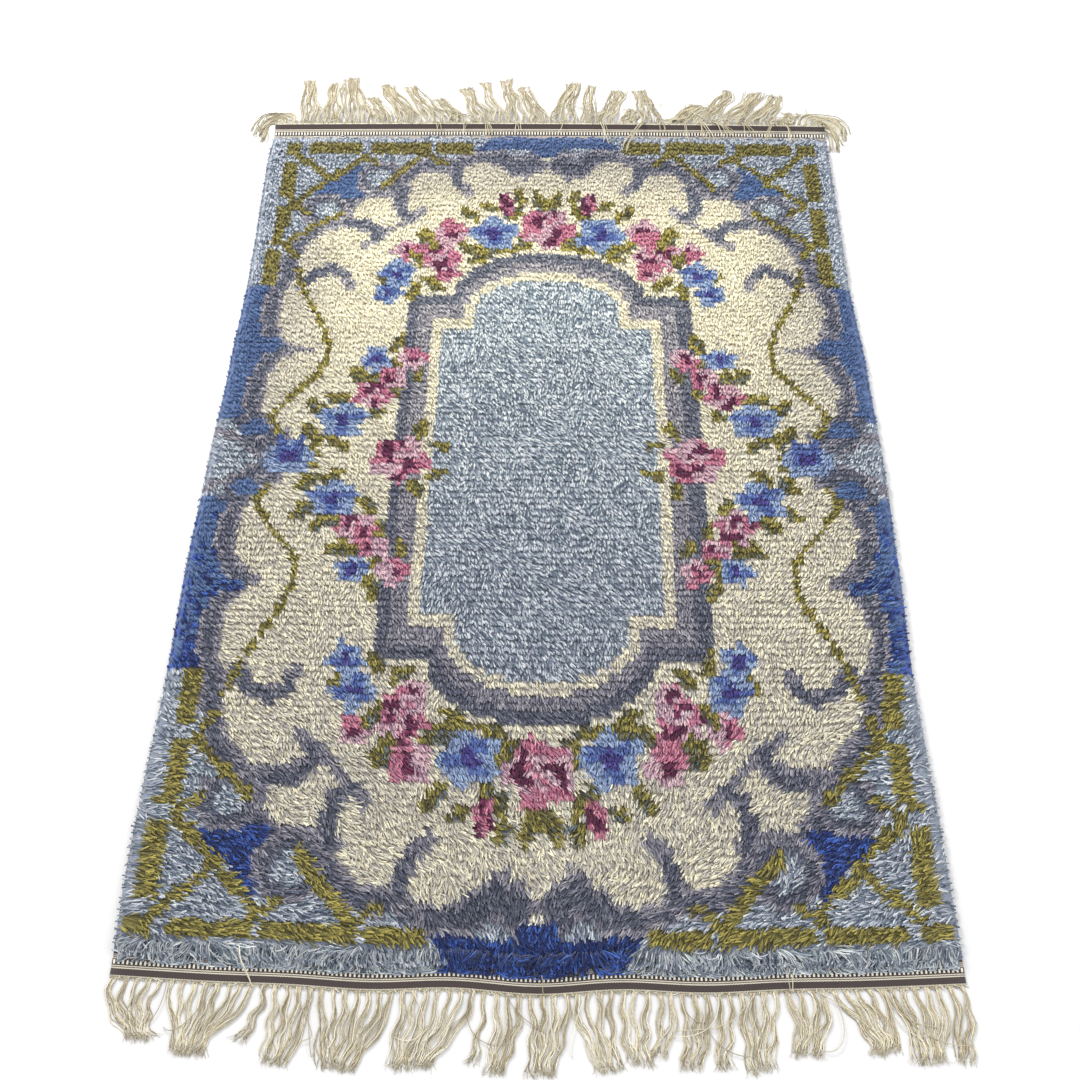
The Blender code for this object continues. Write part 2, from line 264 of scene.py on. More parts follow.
def joined_mesh(name, points, faces, uvs, material):
    """One mesh object from points (n, 3), faces (m, corners) and a UV pair for each face corner."""
    mesh = bpy.data.meshes.new(name)
    count, corners = faces.shape
    mesh.vertices.add(len(points))
    mesh.vertices.foreach_set("co", np.ascontiguousarray(points, np.float32).ravel())
    mesh.loops.add(count * corners)
    mesh.loops.foreach_set("vertex_index", np.ascontiguousarray(faces, np.int32).ravel())
    mesh.polygons.add(count)
    mesh.polygons.foreach_set("loop_start", np.arange(count, dtype=np.int32) * corners)
    mesh.polygons.foreach_set("use_smooth", np.ones(count, bool))
    layer = mesh.uv_layers.new(name=YARN_MAP)
    layer.data.foreach_set("uv", np.ascontiguousarray(uvs, np.float32).ravel())
    mesh.update(calc_edges=True)
    mesh.validate()
    mesh.materials.append(material)
    obj = bpy.data.objects.new(name, mesh)
    bpy.context.collection.objects.link(obj)
    return obj


def grid_faces(rows, columns):
    """The square faces of a grid of points, and the points of its rim, both anticlockwise."""
    index = np.arange(rows * columns).reshape(rows, columns)
    quads = np.stack((index[:-1, :-1], index[:-1, 1:], index[1:, 1:], index[1:, :-1]), axis=-1)
    rim = np.concatenate((index[0, :-1], index[:-1, -1], index[-1, :0:-1], index[:0:-1, 0]))
    return quads.reshape(-1, 4), rim


def face_triangles(obj):
    return sum(len(face.vertices) - 2 for face in obj.data.polygons)


print("cream wool in linear light:", [round(c, 3) for c in dye(236, 228, 196)])

# %% [markdown]
# ## The yarn's material
# Rug wool is two or three plies twisted together. Seen close, dark grooves run round it like the
# stripes on a barber's pole, its root sits in the shade of its neighbours, and its cut end catches
# the light. All three are painted into the colour with simple sums on the UV chart: a sine of
# (round + along) makes the painted shade of the grooves, a ramp over the length makes the painted
# shade of the root, a second ramp makes the painted highlight of the tip, and the same sine drives
# the bump. Wool is rough, with a soft sheen from the fine hairs that stand off it, so the shader
# gets a high roughness and a sheen.

# %% A material for all yarns
COLUMN_MARGIN = 0.14
SPECULAR = 0.25
SHEEN_ROUGHNESS = 0.6
# Ranges of the painted shade in the grooves, the painted shade at the root and the painted highlight at
# the tip
GROOVED = (-1.0, 0.4)
SHADED = (0.05, 0.75)
LIT = (0.7, 1.0)
Finish = namedtuple("Finish", "roughness sheen bump bump_depth")
# groove, root and tip are brightness factors: painted shade in the grooves, painted shade at the root, a
# painted highlight at the tip
Yarn = namedtuple("Yarn", "plies turns groove root tip finish")
WOOL = Yarn(1, 1.6, 0.84, 0.62, 1.12, Finish(0.88, 0.25, 0.5, 0.0006))
FLOAT_YARN = Yarn(2, 3.0, 0.90, 0.92, 1.0, Finish(0.88, 0.15, 0.5, 0.0006))
LINEN_YARN = Yarn(2, 14.0, 0.78, 0.96, 1.04, Finish(0.88, 0.15, 0.5, 0.0006))


def new_node(tree, kind, **settings):
    node = tree.nodes.new(kind)
    for key, value in settings.items():
        setattr(node, key, value)
    return node


def maths(tree, operation, first, second=None):
    """A Math node; each input is a socket or a number."""
    node = new_node(tree, "ShaderNodeMath", operation=operation)
    for socket, value in zip(node.inputs, (first, second)):
        if isinstance(value, (int, float)):
            socket.default_value = value
        elif value is not None:
            tree.links.new(value, socket)
    return node.outputs[0]


def fit_range(tree, value, low, high, to_low, to_high):
    node = new_node(tree, "ShaderNodeMapRange", interpolation_type="SMOOTHSTEP")
    tree.links.new(value, node.inputs["Value"])
    ends = {"From Min": low, "From Max": high, "To Min": to_low, "To Max": to_high}
    for name, number in ends.items():
        node.inputs[name].default_value = number
    return node.outputs["Result"]


def steps_of(tree, value, colors, begins=None):
    """A ramp of flat steps, one for each colour; they are equal where no begins are given."""
    node = new_node(tree, "ShaderNodeValToRGB")
    ramp = node.color_ramp
    ramp.interpolation = "CONSTANT"
    while len(ramp.elements) < len(colors):
        ramp.elements.new(0.5)
    for k, color in enumerate(colors):
        ramp.elements[k].position = begins[k] if begins else k / len(colors)
        ramp.elements[k].color = color
    tree.links.new(value, node.inputs["Fac"])
    return node.outputs["Color"]


def tinted(tree, color, factor):
    """The colour times a number from a socket."""
    node = new_node(tree, "ShaderNodeVectorMath", operation="SCALE")
    tree.links.new(color, node.inputs[0])
    tree.links.new(factor, node.inputs["Scale"])
    return node.outputs["Vector"]


def finish_shader(tree, color, height, finish):
    shader = tree.nodes["Principled BSDF"]
    tree.links.new(color, shader.inputs["Base Color"])
    shader.inputs["Roughness"].default_value = finish.roughness
    shader.inputs["Specular IOR Level"].default_value = SPECULAR
    shader.inputs["Sheen Weight"].default_value = finish.sheen
    shader.inputs["Sheen Roughness"].default_value = SHEEN_ROUGHNESS
    bump = new_node(tree, "ShaderNodeBump")
    bump.inputs["Strength"].default_value = finish.bump
    bump.inputs["Distance"].default_value = finish.bump_depth
    tree.links.new(height, bump.inputs["Height"])
    tree.links.new(bump.outputs["Normal"], shader.inputs["Normal"])


def yarn_material(name, colors, yarn):
    """Yarn whose shade comes from its column of the chart; groove and root are brightnesses of painted
    shade, tip a brightness of painted highlight.
    """
    material = bpy.data.materials.new(name)
    material.use_nodes = True
    tree = material.node_tree
    chart = new_node(tree, "ShaderNodeUVMap", uv_map=YARN_MAP)
    split = new_node(tree, "ShaderNodeSeparateXYZ")
    tree.links.new(chart.outputs["UV"], split.inputs[0])
    column, length = split.outputs["X"], split.outputs["Y"]
    within = maths(tree, "FRACT", maths(tree, "MULTIPLY", column, len(colors)))
    span = 1 - 2 * COLUMN_MARGIN
    around = maths(tree, "MULTIPLY", maths(tree, "SUBTRACT", within, COLUMN_MARGIN), yarn.plies / span)
    turned = maths(tree, "ADD", around, maths(tree, "MULTIPLY", length, yarn.turns))
    wave = maths(tree, "SINE", maths(tree, "MULTIPLY", turned, 2 * pi))
    # Painted groove shade, painted root shade and painted tip highlight, multiplied into the colour
    groove_bump_and_shade = fit_range(tree, wave, *GROOVED, yarn.groove, 1.0)
    shade = fit_range(tree, length, *SHADED, yarn.root, 1.0)
    tip_highlight = fit_range(tree, length, *LIT, 1.0, yarn.tip)
    factor = maths(tree, "MULTIPLY", maths(tree, "MULTIPLY", groove_bump_and_shade, shade), tip_highlight)
    color = tinted(tree, steps_of(tree, column, colors), factor)
    finish_shader(tree, color, groove_bump_and_shade, yarn.finish)
    return material


def into_columns(uv, columns, lots):
    """Moves the chart places of each strand or thread into its own column."""
    within = COLUMN_MARGIN + uv[..., 0] * (1 - 2 * COLUMN_MARGIN)
    uv[..., 0] = (columns[:, None, None] + within) / lots


# %% [markdown]
# ## The knot chart
# A weaver works from a chart: one square for each knot. Ours has 120 knots across and 142 rows.
# The design is an old, common carpet layout: a plain medallion with an arched top and bottom, a
# cream field edged by scallops and scrolls, a garland of roses and a lattice in the corners. Such a
# chart is the same left and right, and the same up and down, so we draw a quarter of it with u and
# v, the distances in centimetres from the middle, and the mirror gives the rest.

# %% The grid of knots
KNOTS_ACROSS = 120
KNOT_ROWS = 142
CM_ACROSS = 55.0
CM_ALONG = 81.65
MIDDLE_ROW_CM = 0.3

YARNS = "ice ivory slate taupe royal faded olive leaf blush rose wine sky blue violet".split()
ICE, IVORY, SLATE, TAUPE, ROYAL, PALE_ROYAL, OLIVE = range(7)
LEAF, BLUSH, ROSE, WINE, SKY, BLUE, VIOLET = range(7, len(YARNS))

across_share = (np.arange(KNOTS_ACROSS) + 0.5) / KNOTS_ACROSS * 2 - 1
along_share = (np.arange(KNOT_ROWS) + 0.5) / KNOT_ROWS * 2 - 1
chart_x, chart_y = np.meshgrid(across_share * CM_ACROSS, along_share * CM_ALONG)

# Where the weaver's count slipped, in centimetres: the pattern sits too far along in the near half
# and a little short in the far half, and its sides stray outwards, most of all near the near end
NEAR_SLIP, NEAR_SLIP_AT, NEAR_SLIP_HALF = 2.0, -28.0, 26.0
END_SLIP, END_SLIP_AT, END_SLIP_HALF = -0.9, -75.0, 7.0
FAR_SLIP = -0.75
END_STRAY, RIGHT_STRAY, FAR_STRAY = 1.2, 0.9, -0.4
FULL_STRAY_AT = 43.0
# Where along the rug each of these comes in or goes: its start, and over how many centimetres
FAR_SLIP_IN = (0, 25)
END_STRAY_OUT = (-66, 14)
FAR_STRAY_IN = (50, 25)
RIGHT_STRAY_IN, RIGHT_STRAY_OUT = (-55, 15), (38, 14)


def swell(at, half):
    return np.exp(-((chart_y - at) / half) ** 2)


def climb(start, over):
    """Rises from 0 to 1 along the rug."""
    return smooth((chart_y - start) / over)


slipped = NEAR_SLIP * swell(NEAR_SLIP_AT, NEAR_SLIP_HALF) + END_SLIP * swell(END_SLIP_AT, END_SLIP_HALF)
slipped += FAR_SLIP * climb(*FAR_SLIP_IN)
stray = END_STRAY * (1 - climb(*END_STRAY_OUT))
stray = stray + np.where(chart_x < 0, FAR_STRAY * climb(*FAR_STRAY_IN), 0)
stray += np.where(chart_x > 0, RIGHT_STRAY * (climb(*RIGHT_STRAY_IN) - climb(*RIGHT_STRAY_OUT)), 0)
outward = stray * np.abs(chart_x) / FULL_STRAY_AT
chart_x, chart_y = chart_x - np.sign(chart_x) * outward, chart_y - slipped
u, v = np.abs(chart_x), np.abs(chart_y - MIDDLE_ROW_CM)
chart = np.full(chart_x.shape, ICE)
knot_wide, knot_long = WIDTH / KNOTS_ACROSS, PILE_LENGTH / KNOT_ROWS
print(f"{chart.size} knots, each {1000 * knot_wide:.1f} mm by {1000 * knot_long:.1f} mm")


# %% Drawing tools for the chart
def paint(where, yarn):
    chart[where] = yarn


def from_ellipse(x, y, cx, cy, rx, ry):
    """Roughly how far outside an ellipse each knot is, in cm; negative inside."""
    reach = np.hypot((x - cx) / rx, (y - cy) / ry)
    return (reach - 1) * min(rx, ry)


def from_line(x, y, route, widths):
    """How far outside a tapering brush line each knot is, in cm."""
    nearest = np.full(x.shape, np.inf)
    for (ax, ay), (bx, by), wa, wb in zip(route, route[1:], widths, widths[1:]):
        length = max((bx - ax) ** 2 + (by - ay) ** 2, 1e-9)
        t = np.clip(((x - ax) * (bx - ax) + (y - ay) * (by - ay)) / length, 0, 1)
        gone = np.hypot(x - ax - t * (bx - ax), y - ay - t * (by - ay))
        nearest = np.minimum(nearest, gone - mix(wa, wb, t))
    return nearest


def line(route, width, yarn, taper=1.0):
    """Paints a brush line on the quarter chart; taper is the width at its end."""
    widths = np.linspace(width, width * taper, len(route))
    paint(from_line(u, v, route, widths) < 0, yarn)


# %% [markdown]
# ### Cream field, scallops and side panels
# The cream field is a big soft oval with lobes round it, and a scroll border follows its edge at a
# fixed distance. If we know how far every knot is from the nearest lobe, the border is just a range
# of distances: that is much shorter to write than the outline itself, and the cusps between two
# lobes come by themselves.

# %% Field and scroll border
Lobe = namedtuple("Lobe", "u v wide high")
LOBES = (
    Lobe(0.0, 67.5, 3.7, 7.6),
    Lobe(12.0, 66.6, 8.2, 7.2),
    Lobe(21.6, 63.9, 5.6, 7.2),
    Lobe(31.8, 59.6, 5.0, 4.6),
    Lobe(37.6, 43.8, 8.6, 11.6),
    Lobe(41.2, 35.0, 6.9, 9.6),
    Lobe(41.2, 15.4, 6.9, 9.6),
)
FIELD_REACH_U = 42.0
FIELD_REACH_V = 66.0
FIELD_SQUARENESS = 2.5
BORDER = ((3.1, TAUPE), (2.3, SLATE), (0.9, TAUPE), (0.0, IVORY))
PANEL_LOW, PANEL_HIGH, PANEL_FROM = 8.8, 41.0, 40
CAP_HALF, CAP_SLOPE, CAP_LOW = 14.0, 0.9, 78.0
CAP_DIP, CAP_DIP_HALF = 2.4, 2.8
WEDGE = (48.2, 26.3, 2.4, 1.3)

oval = (u / FIELD_REACH_U) ** FIELD_SQUARENESS + (v / FIELD_REACH_V) ** FIELD_SQUARENESS
edge = (oval ** (1 / FIELD_SQUARENESS) - 1) * FIELD_REACH_U
for lobe in LOBES:
    edge = np.minimum(edge, from_ellipse(u, v, lobe.u, lobe.v, lobe.wide, lobe.high))
paint((v > PANEL_LOW) & (v < PANEL_HIGH) & (u > PANEL_FROM), ROYAL)
for distance, yarn in BORDER:
    paint(edge < distance, yarn)
cap_edge = CAP_HALF - CAP_SLOPE * np.maximum(v - CAP_LOW, 0)
paint((v > CAP_LOW) & (u < cap_edge) | (v > CAP_LOW - CAP_DIP) & (u < CAP_DIP_HALF), ROYAL)
paint(from_ellipse(u, v, *WEDGE) < 0, ROYAL)
print("cream knots:", int((chart == IVORY).sum()))

# %% [markdown]
# ### Lattice, scrolls and hooks
# Olive bars run round the border with thin lattice lines in each corner. Two snail scrolls sit
# where lattice lines end, and small slate hooks curl from the border into the cream field.

# %% Lattice and scrolls
BAR_ACROSS_V = (76.3, 79.5)
BAR_ACROSS_U = ((14.4, 21.9), (23.3, 35.2), (36.7, 47.4), (48.8, 52.2))
BAR_ALONG_U = (49.1, 51.8)
BAR_ALONG_V = ((40.8, 50.1), (51.6, 61.2), (63.6, 73.9))
LATTICE = (
    ((35.8, 75.4), (49.0, 62.4)),
    ((49.0, 75.9), (41.6, 68.4)),
    ((24.4, 76.0), (31.8, 67.2)),
    ((23.4, 76.0), (20.6, 73.4)),
    ((48.8, 51.9), (39.4, 59.8)),
    ((49.0, 51.8), (47.0, 48.2)),
    ((49.0, 62.4), (46.0, 59.8)),
    ((36.4, 75.6), (33.6, 74.0)),
)
CORNER_TRIANGLE = ((45.4, 65.0), (35.2, 63.4), (36.4, 73.4))
Snail = namedtuple("Snail", "u v ring")
SNAILS = (Snail(32.4, 69.2, 4.9), Snail(42.2, 60.6, 4.7))
SNAIL_RINGS = ((0, TAUPE), (-1.0, SLATE), (-2.4, ICE))
LATTICE_HALF = 0.78
HOOKS = (
    ((17.8, 72.6), (17.9, 70.2), (17.0, 67.4), (14.8, 65.2)),
    ((27.4, 66.4), (28.3, 62.6), (27.6, 59.4), (25.6, 58.2), (24.0, 60.2)),
    ((36.6, 57.0), (33.8, 56.8), (32.2, 54.6), (32.2, 52.4), (34.2, 50.8)),
    ((44.6, 41.0), (42.6, 43.8), (39.4, 45.2), (36.8, 43.4), (35.8, 40.6)),
)


def inside_polygon(x, y, corners):
    """True inside a convex outline whose corners are given clockwise."""
    inside = np.ones(x.shape, bool)
    for (ax, ay), (bx, by) in zip(corners, corners[1:] + corners[:1]):
        inside &= (bx - ax) * (y - ay) - (by - ay) * (x - ax) <= 0
    return inside


def paint_snail(snail):
    """A rolled scroll: taupe outside, slate inside it, and an ice-blue eye."""
    ring = from_ellipse(u, v, snail.u, snail.v, snail.ring, snail.ring)
    for outside, yarn in SNAIL_RINGS:
        paint(ring < outside, yarn)


paint(inside_polygon(u, v, CORNER_TRIANGLE), ROYAL)
for snail in SNAILS:
    paint_snail(snail)
for route in LATTICE:
    line(route, LATTICE_HALF, OLIVE)
for low, high in BAR_ACROSS_U:
    paint((v > BAR_ACROSS_V[0]) & (v < BAR_ACROSS_V[1]) & (u > low) & (u < high), OLIVE)
for low, high in BAR_ALONG_V:
    paint((u > BAR_ALONG_U[0]) & (u < BAR_ALONG_U[1]) & (v > low) & (v < high), OLIVE)
for hook in HOOKS:
    line(hook, 1.35, TAUPE, taper=0.75)
    line(hook[:-1], 1.05, SLATE, taper=0.8)

# %% Scroll over each end of the field, and the crossing at each side
END_SCROLL = ((13.0, 75.6), (9.6, 75.4), (7.4, 73.6), (5.2, 71.9), (3.0, 73.2))
END_EYE = (5.6, 76.8, 2.1, 1.0)
SIDE_CROSSING = (((54.5, 6.4), (50.5, 4.4), (47.0, 1.4)), ((51.0, 8.6), (48.6, 3.8), (45.6, 2.4)))
SIDE_EYE = (48.0, 6.6, 2.2, 1.9)
SIDE_VINE = ((45.9, 44.6), (44.5, 40.0), (41.4, 34.2), (39.0, 29.4), (37.9, 25.0), (38.6, 20.6),
             (40.8, 17.2), (43.6, 13.4), (46.0, 9.4), (44.0, 5.6))
VINE_HALF = 0.55

line(END_SCROLL, 1.9, TAUPE, taper=1.5)
line(END_SCROLL, 1.2, SLATE, taper=1.6)
paint(from_ellipse(u, v, *END_EYE) < 0, ICE)
line(SIDE_CROSSING[0], 0.9, TAUPE)
line(SIDE_CROSSING[1], 1.1, SLATE)
paint(from_ellipse(u, v, *SIDE_EYE) < 0, ROYAL)
line(SIDE_VINE, VINE_HALF, OLIVE)
print("olive knots:", int((chart == OLIVE).sum()))

# %% [markdown]
# ### The medallion
# Four shapes of the same family sit inside one another: a slate edge, a taupe band, a cream line and
# the ice-blue field. Each is a straight-sided panel with a stepped shoulder and an arch on top, so
# one short loop, with five numbers for each shape, draws them all.

# %% Medallion
Medallion = namedtuple("Medallion", "yarn side straight arch_half arch_base arch_high")
MEDALLIONS = (
    Medallion(SLATE, 24.8, 38.6, 17.0, 38.0, 11.0),
    Medallion(TAUPE, 22.7, 36.4, 15.6, 36.4, 10.4),
    Medallion(IVORY, 19.9, 33.0, 14.4, 35.0, 9.3),
    Medallion(ICE, 18.1, 30.6, 12.9, 34.2, 8.2),
)
for m in MEDALLIONS:
    arch_top = m.arch_base + m.arch_high * np.sqrt(np.clip(1 - (u / m.arch_half) ** 2, 0, 1))
    panel = (u < m.side) & (v < m.straight)
    arch = (u < m.arch_half) & (v < arch_top)
    paint(panel | arch, m.yarn)
print("ice-blue knots in all:", int((chart == ICE).sum()))

# %% [markdown]
# ### Flowers and leaves
# At one knot to the centimetre a rose is a blot with a few dark marks, and it still reads as a rose.
# Each flower is drawn by its angle and distance from its own middle: a wavy rim gives the petals,
# and a second wave decides where the light, middle and dark yarns go. The roses and bluebells start
# their waves at another angle each, so that no two are alike, although the garland is mirrored.

# %% Flower shapes
FLOWER_SEED = 21
chance = random.Random(FLOWER_SEED)
LEAF_WIDTH = 0.25


def polar(cx, cy):
    x, y = chart_x - cx, chart_y - cy
    return np.hypot(x, y), np.arctan2(y, x)


def rose(cx, cy, size):
    distance, angle = polar(cx, cy)
    start = chance.uniform(0, 2 * pi)
    rim = size * (1 + 0.13 * np.cos(5 * angle + start))
    share = distance / rim
    paint(share < 1, BLUSH)
    paint((share < 1) & (share > 0.50) & (np.cos(2 * angle + start) > -0.15), ROSE)
    paint((share < 0.6) & (np.cos(3 * angle + 4 * share + start) > 0.75), ROSE)
    folds = np.cos(2 * angle + 5 * share - start)
    paint((share > 0.24) & (share < 0.80) & (folds > 0.42), WINE)


def small_rose(cx, cy, size):
    distance, angle = polar(cx, cy)
    start = chance.uniform(0, 2 * pi)
    share = distance / (size * (1 + 0.12 * np.cos(4 * angle + start)))
    paint(share < 1, BLUSH)
    paint((share < 1) & (np.cos(angle + start) > 0.2), ROSE)
    paint((share < 0.46) & (np.cos(angle - start) > -0.2), WINE)


def bluebell(cx, cy, size):
    distance, angle = polar(cx, cy)
    start = chance.uniform(0, 2 * pi)
    share = distance / (size * (1 + 0.16 * np.cos(5 * angle + start)))
    paint(share < 1, SKY)
    paint((share < 0.56 + 0.3 * np.cos(3 * angle + start)) & (share < 1), BLUE)
    paint(share < 0.33, VIOLET)


def starflower(cx, cy, size):
    """A blue flower with two pointed dark petals towards the far end."""
    distance, angle = polar(cx, cy)
    paint(distance < 0.88 * size, SKY)
    paint((distance < 0.50 * size) & (np.sin(angle) > -0.60), BLUE)
    for tip in (-0.45, 0.42):
        ahead = np.cos(angle - pi / 2 - tip)
        paint(ahead > 0.90 + 0.085 * distance / size, BLUE)
    paint(distance < 0.34 * size, VIOLET)


def bud(cx, cy, size):
    tilt = radians(12 if cx * cy > 0 else -12)
    x, y = chart_x - cx, chart_y - cy
    a, b = x * cos(tilt) - y * sin(tilt), x * sin(tilt) + y * cos(tilt)
    inside = np.hypot(a / (0.5 * size), b / size) < 1
    paint(inside, ROSE)
    paint(inside & (np.cos(2.3 * a + 1.4 * b + cx) > 0.1), WINE)


def leaf(cx, cy, degrees, length):
    """A pointed leaf; the degrees are from the rug's width, in the upper right quarter."""
    turn = radians(degrees)
    x, y = chart_x - cx, chart_y - cy
    a, b = x * cos(turn) + y * sin(turn), y * cos(turn) - x * sin(turn)
    half = LEAF_WIDTH * length * np.sqrt(np.clip(1 - (2 * a / length) ** 2, 0, 1))
    paint(np.abs(b) < np.maximum(half, (np.abs(a) < 0.4 * length) * 0.7), OLIVE)
    paint((b < -0.1) & (b > -half) & (np.abs(a) < 0.36 * length), LEAF)


# %% The garland's list
# Places in centimetres from the middle, for the upper right quarter
Leaf = namedtuple("Leaf", "u v degrees length")
LEAVES = (
    Leaf(1.6, 62.9, 72, 5.6),
    Leaf(0.4, 61.6, 90, 4.4),
    Leaf(5.2, 63.9, 75, 4.4),
    Leaf(6.4, 59.4, 140, 5.4),
    Leaf(10.6, 61.3, 25, 4.0),
    Leaf(14.6, 59.4, 50, 5.0),
    Leaf(4.4, 52.6, 60, 5.2),
    Leaf(6.4, 50.0, 160, 4.0),
    Leaf(11.6, 49.8, 10, 6.4),
    Leaf(12.6, 47.4, 150, 4.4),
    Leaf(15.4, 50.8, 20, 4.0),
    Leaf(21.6, 52.6, 48, 6.6),
    Leaf(23.8, 47.6, 55, 5.6),
    Leaf(20.6, 41.2, 40, 4.6),
    Leaf(24.2, 39.4, 110, 4.6),
    Leaf(29.8, 42.6, 50, 4.4),
    Leaf(25.8, 26.6, 115, 4.8),
    Leaf(25.6, 21.2, 60, 5.0),
    Leaf(21.9, 19.0, 110, 4.2),
    Leaf(31.4, 18.8, 30, 6.2),
    Leaf(29.2, 19.0, 60, 3.4),
    Leaf(25.4, 15.2, 100, 4.0),
    Leaf(34.6, 13.6, 20, 5.4),
    Leaf(38.2, 11.2, 55, 5.4),
    Leaf(28.2, 10.0, 135, 4.4),
    Leaf(38.4, 5.2, 60, 5.2),
    Leaf(34.4, 3.6, 35, 4.8),
    Leaf(38.6, 1.6, 10, 3.8),
    Leaf(20.6, 6.4, 105, 4.8),
    Leaf(17.4, 3.2, 20, 4.0),
)
Bloom = namedtuple("Bloom", "kind u v size")
BLOOMS = (
    Bloom(bluebell, 10.0, 53.8, 4.3),
    Bloom(small_rose, 18.0, 54.4, 3.1),
    Bloom(small_rose, 18.4, 44.2, 2.3),
    Bloom(rose, 20.0, 48.0, 3.8),
    Bloom(small_rose, 26.2, 49.6, 2.5),
    Bloom(bluebell, 27.2, 43.6, 3.2),
    Bloom(bluebell, 28.8, 38.8, 2.6),
    Bloom(bud, 7.6, 61.8, 3.0),
    Bloom(small_rose, 23.0, 23.2, 2.6),
    Bloom(small_rose, 26.2, 18.6, 2.4),
    Bloom(rose, 29.4, 14.6, 3.2),
    Bloom(bluebell, 29.2, 23.0, 2.6),
    Bloom(bluebell, 33.8, 8.6, 3.9),
)
UPPER_LEAVES = (
    Leaf(22.4, 52.4, 52, 5.6),
    Leaf(24.2, 47.6, 55, 4.4),
    Leaf(13.6, 49.6, 14, 5.0),
)
QUARTERS = ((1, 1), (-1, 1), (1, -1), (-1, -1))
END_ROSE = Bloom(rose, 0.0, 55.6, 5.0)
SIDE_STAR = Bloom(starflower, 41.8, 0.0, 4.5)
SIDE_ROSE = Bloom(rose, 23.8, 0.0, 4.7)


def paint_leaves(leaves):
    for side, end in QUARTERS:
        for item in leaves:
            leaf(side * item.u, end * item.v + MIDDLE_ROW_CM, side * end * item.degrees, item.length)


def paint_bloom(item, side, end):
    item.kind(side * item.u, end * item.v + MIDDLE_ROW_CM, item.size)


paint_leaves(LEAVES)
for item in BLOOMS:
    for side, end in QUARTERS:
        paint_bloom(item, side, end)
paint_leaves(UPPER_LEAVES)
for end in (1, -1):
    paint_bloom(END_ROSE, 1, end)
for side in (1, -1):
    paint_bloom(SIDE_STAR, side, 1)
    paint_bloom(SIDE_ROSE, side, 1)

# Towards the far end more and more royal knots take a paler royal, knot by knot
PALE_FROM, PALE_OVER, PALE_SEED = -0.62, 0.55, 4
pale_share = smooth((along_share - PALE_FROM) / PALE_OVER)[:, None]
paler_royal = np.random.default_rng(PALE_SEED).random(chart.shape) < pale_share
chart[(chart == ROYAL) & paler_royal] = PALE_ROYAL
for yarn, name in enumerate(YARNS):
    print(f"{name}: {int((chart == yarn).sum())} knots", end="; ")
print()

# %% [markdown]
# ## The dye card
# No wool is one flat colour. Each place of the chart is knotted with several ends of close shades
# taken together, which gives the rug its soft, grainy look. The card lists the shades for each place.
# The light is painted into the wool as well: every shade comes in several brightnesses, painted
# light towards the far end and painted shade towards the near end, which also makes it a little
# bluer, with painted light round the near rim and painted shade round the far rim. A strand takes
# a brightness by its place on the rug, with a little chance, which blends the steps into one another.

# %% Shades
DYES = {
    ICE: ((206, 210, 214), (160, 170, 178), (104, 118, 133)),
    IVORY: ((241, 234, 209), (230, 222, 196), (211, 202, 177)),
    SLATE: ((83, 88, 105), (112, 115, 128), (140, 140, 149)),
    TAUPE: ((158, 154, 161), (133, 130, 139), (180, 176, 179)),
    ROYAL: ((18, 42, 104), (56, 92, 172), (10, 28, 78)),
    PALE_ROYAL: ((78, 105, 149), (94, 121, 166), (66, 90, 134)),
    OLIVE: ((160, 148, 74), (130, 120, 55), (86, 79, 35)),
    LEAF: ((74, 70, 40), (120, 112, 58), (106, 116, 123)),
    BLUSH: ((208, 174, 183), (196, 154, 167), (218, 190, 195)),
    ROSE: ((198, 124, 146), (184, 104, 130), (208, 146, 164)),
    WINE: ((94, 24, 62), (114, 36, 82), (78, 18, 52)),
    SKY: ((148, 166, 197), (131, 152, 187), (164, 180, 207)),
    BLUE: ((82, 105, 167), (102, 125, 184), (68, 89, 149)),
    VIOLET: ((62, 52, 128), (80, 70, 146), (50, 42, 108)),
}
SHADE_WEIGHTS = (0.42, 0.34, 0.24)
CHANCE_NEAR, CHANCE_FAR = 0.19, 0.04
LEVEL_ROOM = 0.7
# How the painted light grows from the near end to the far end
PAINTED_LIGHT_CURVE = 1.4
# Painted light round the near rim and painted shade round the far rim
RIM_PAINTED_LIGHT, RIM_PAINTED_SHADE = 0.07, 0.26
RIM_FROM, RIM_OVER = 0.6, 0.3
# How much bluer the painted shade is
COOL_POWER = 0.75

# near and far: a family's brightness, painted shade at the near end and painted light at the far end
Family = namedtuple("Family", "name yarns levels near far halves")
FAMILIES = (
    Family("cream", (IVORY,), 6, 0.85, 1.14, True),
    Family("ice", (ICE,), 6, 0.84, 1.25, True),
    Family("slate", (SLATE, TAUPE), 5, 0.80, 1.27, False),
    Family("royal", (ROYAL, PALE_ROYAL), 5, 0.89, 1.22, False),
    Family("blossom", (SKY, BLUE, VIOLET), 3, 0.94, 1.06, False),
    Family("olive", (OLIVE, LEAF), 5, 0.92, 1.22, False),
    Family("rose", (BLUSH, ROSE, WINE), 3, 0.94, 1.06, False),
)


def painted_light_level(family, across, along):
    """How bright a family's wool is painted: painted shade towards the near end, painted light towards
    the far end, painted light round the near rim and painted shade round the far rim.
    """
    ring = smooth((np.maximum(np.abs(across), np.abs(along)) - RIM_FROM) / RIM_OVER)
    lit_share = ((along + 1) / 2) ** PAINTED_LIGHT_CURVE
    return mix(family.near, family.far, lit_share) * (1 + mix(RIM_PAINTED_LIGHT, -RIM_PAINTED_SHADE, lit_share) * ring)


def brightnesses(family):
    return np.linspace(family.near - LEVEL_ROOM * CHANCE_NEAR, family.far, family.levels)


def shade_in_painted_light(shade, brightness):
    """A shade made lighter with painted light and darker with painted shade; the painted shade is also a
    little bluer.
    """
    red, green, blue = shade
    channels = (red * brightness, green * brightness, blue * brightness ** COOL_POWER)
    return dye(*(min(channel, 255) for channel in channels))


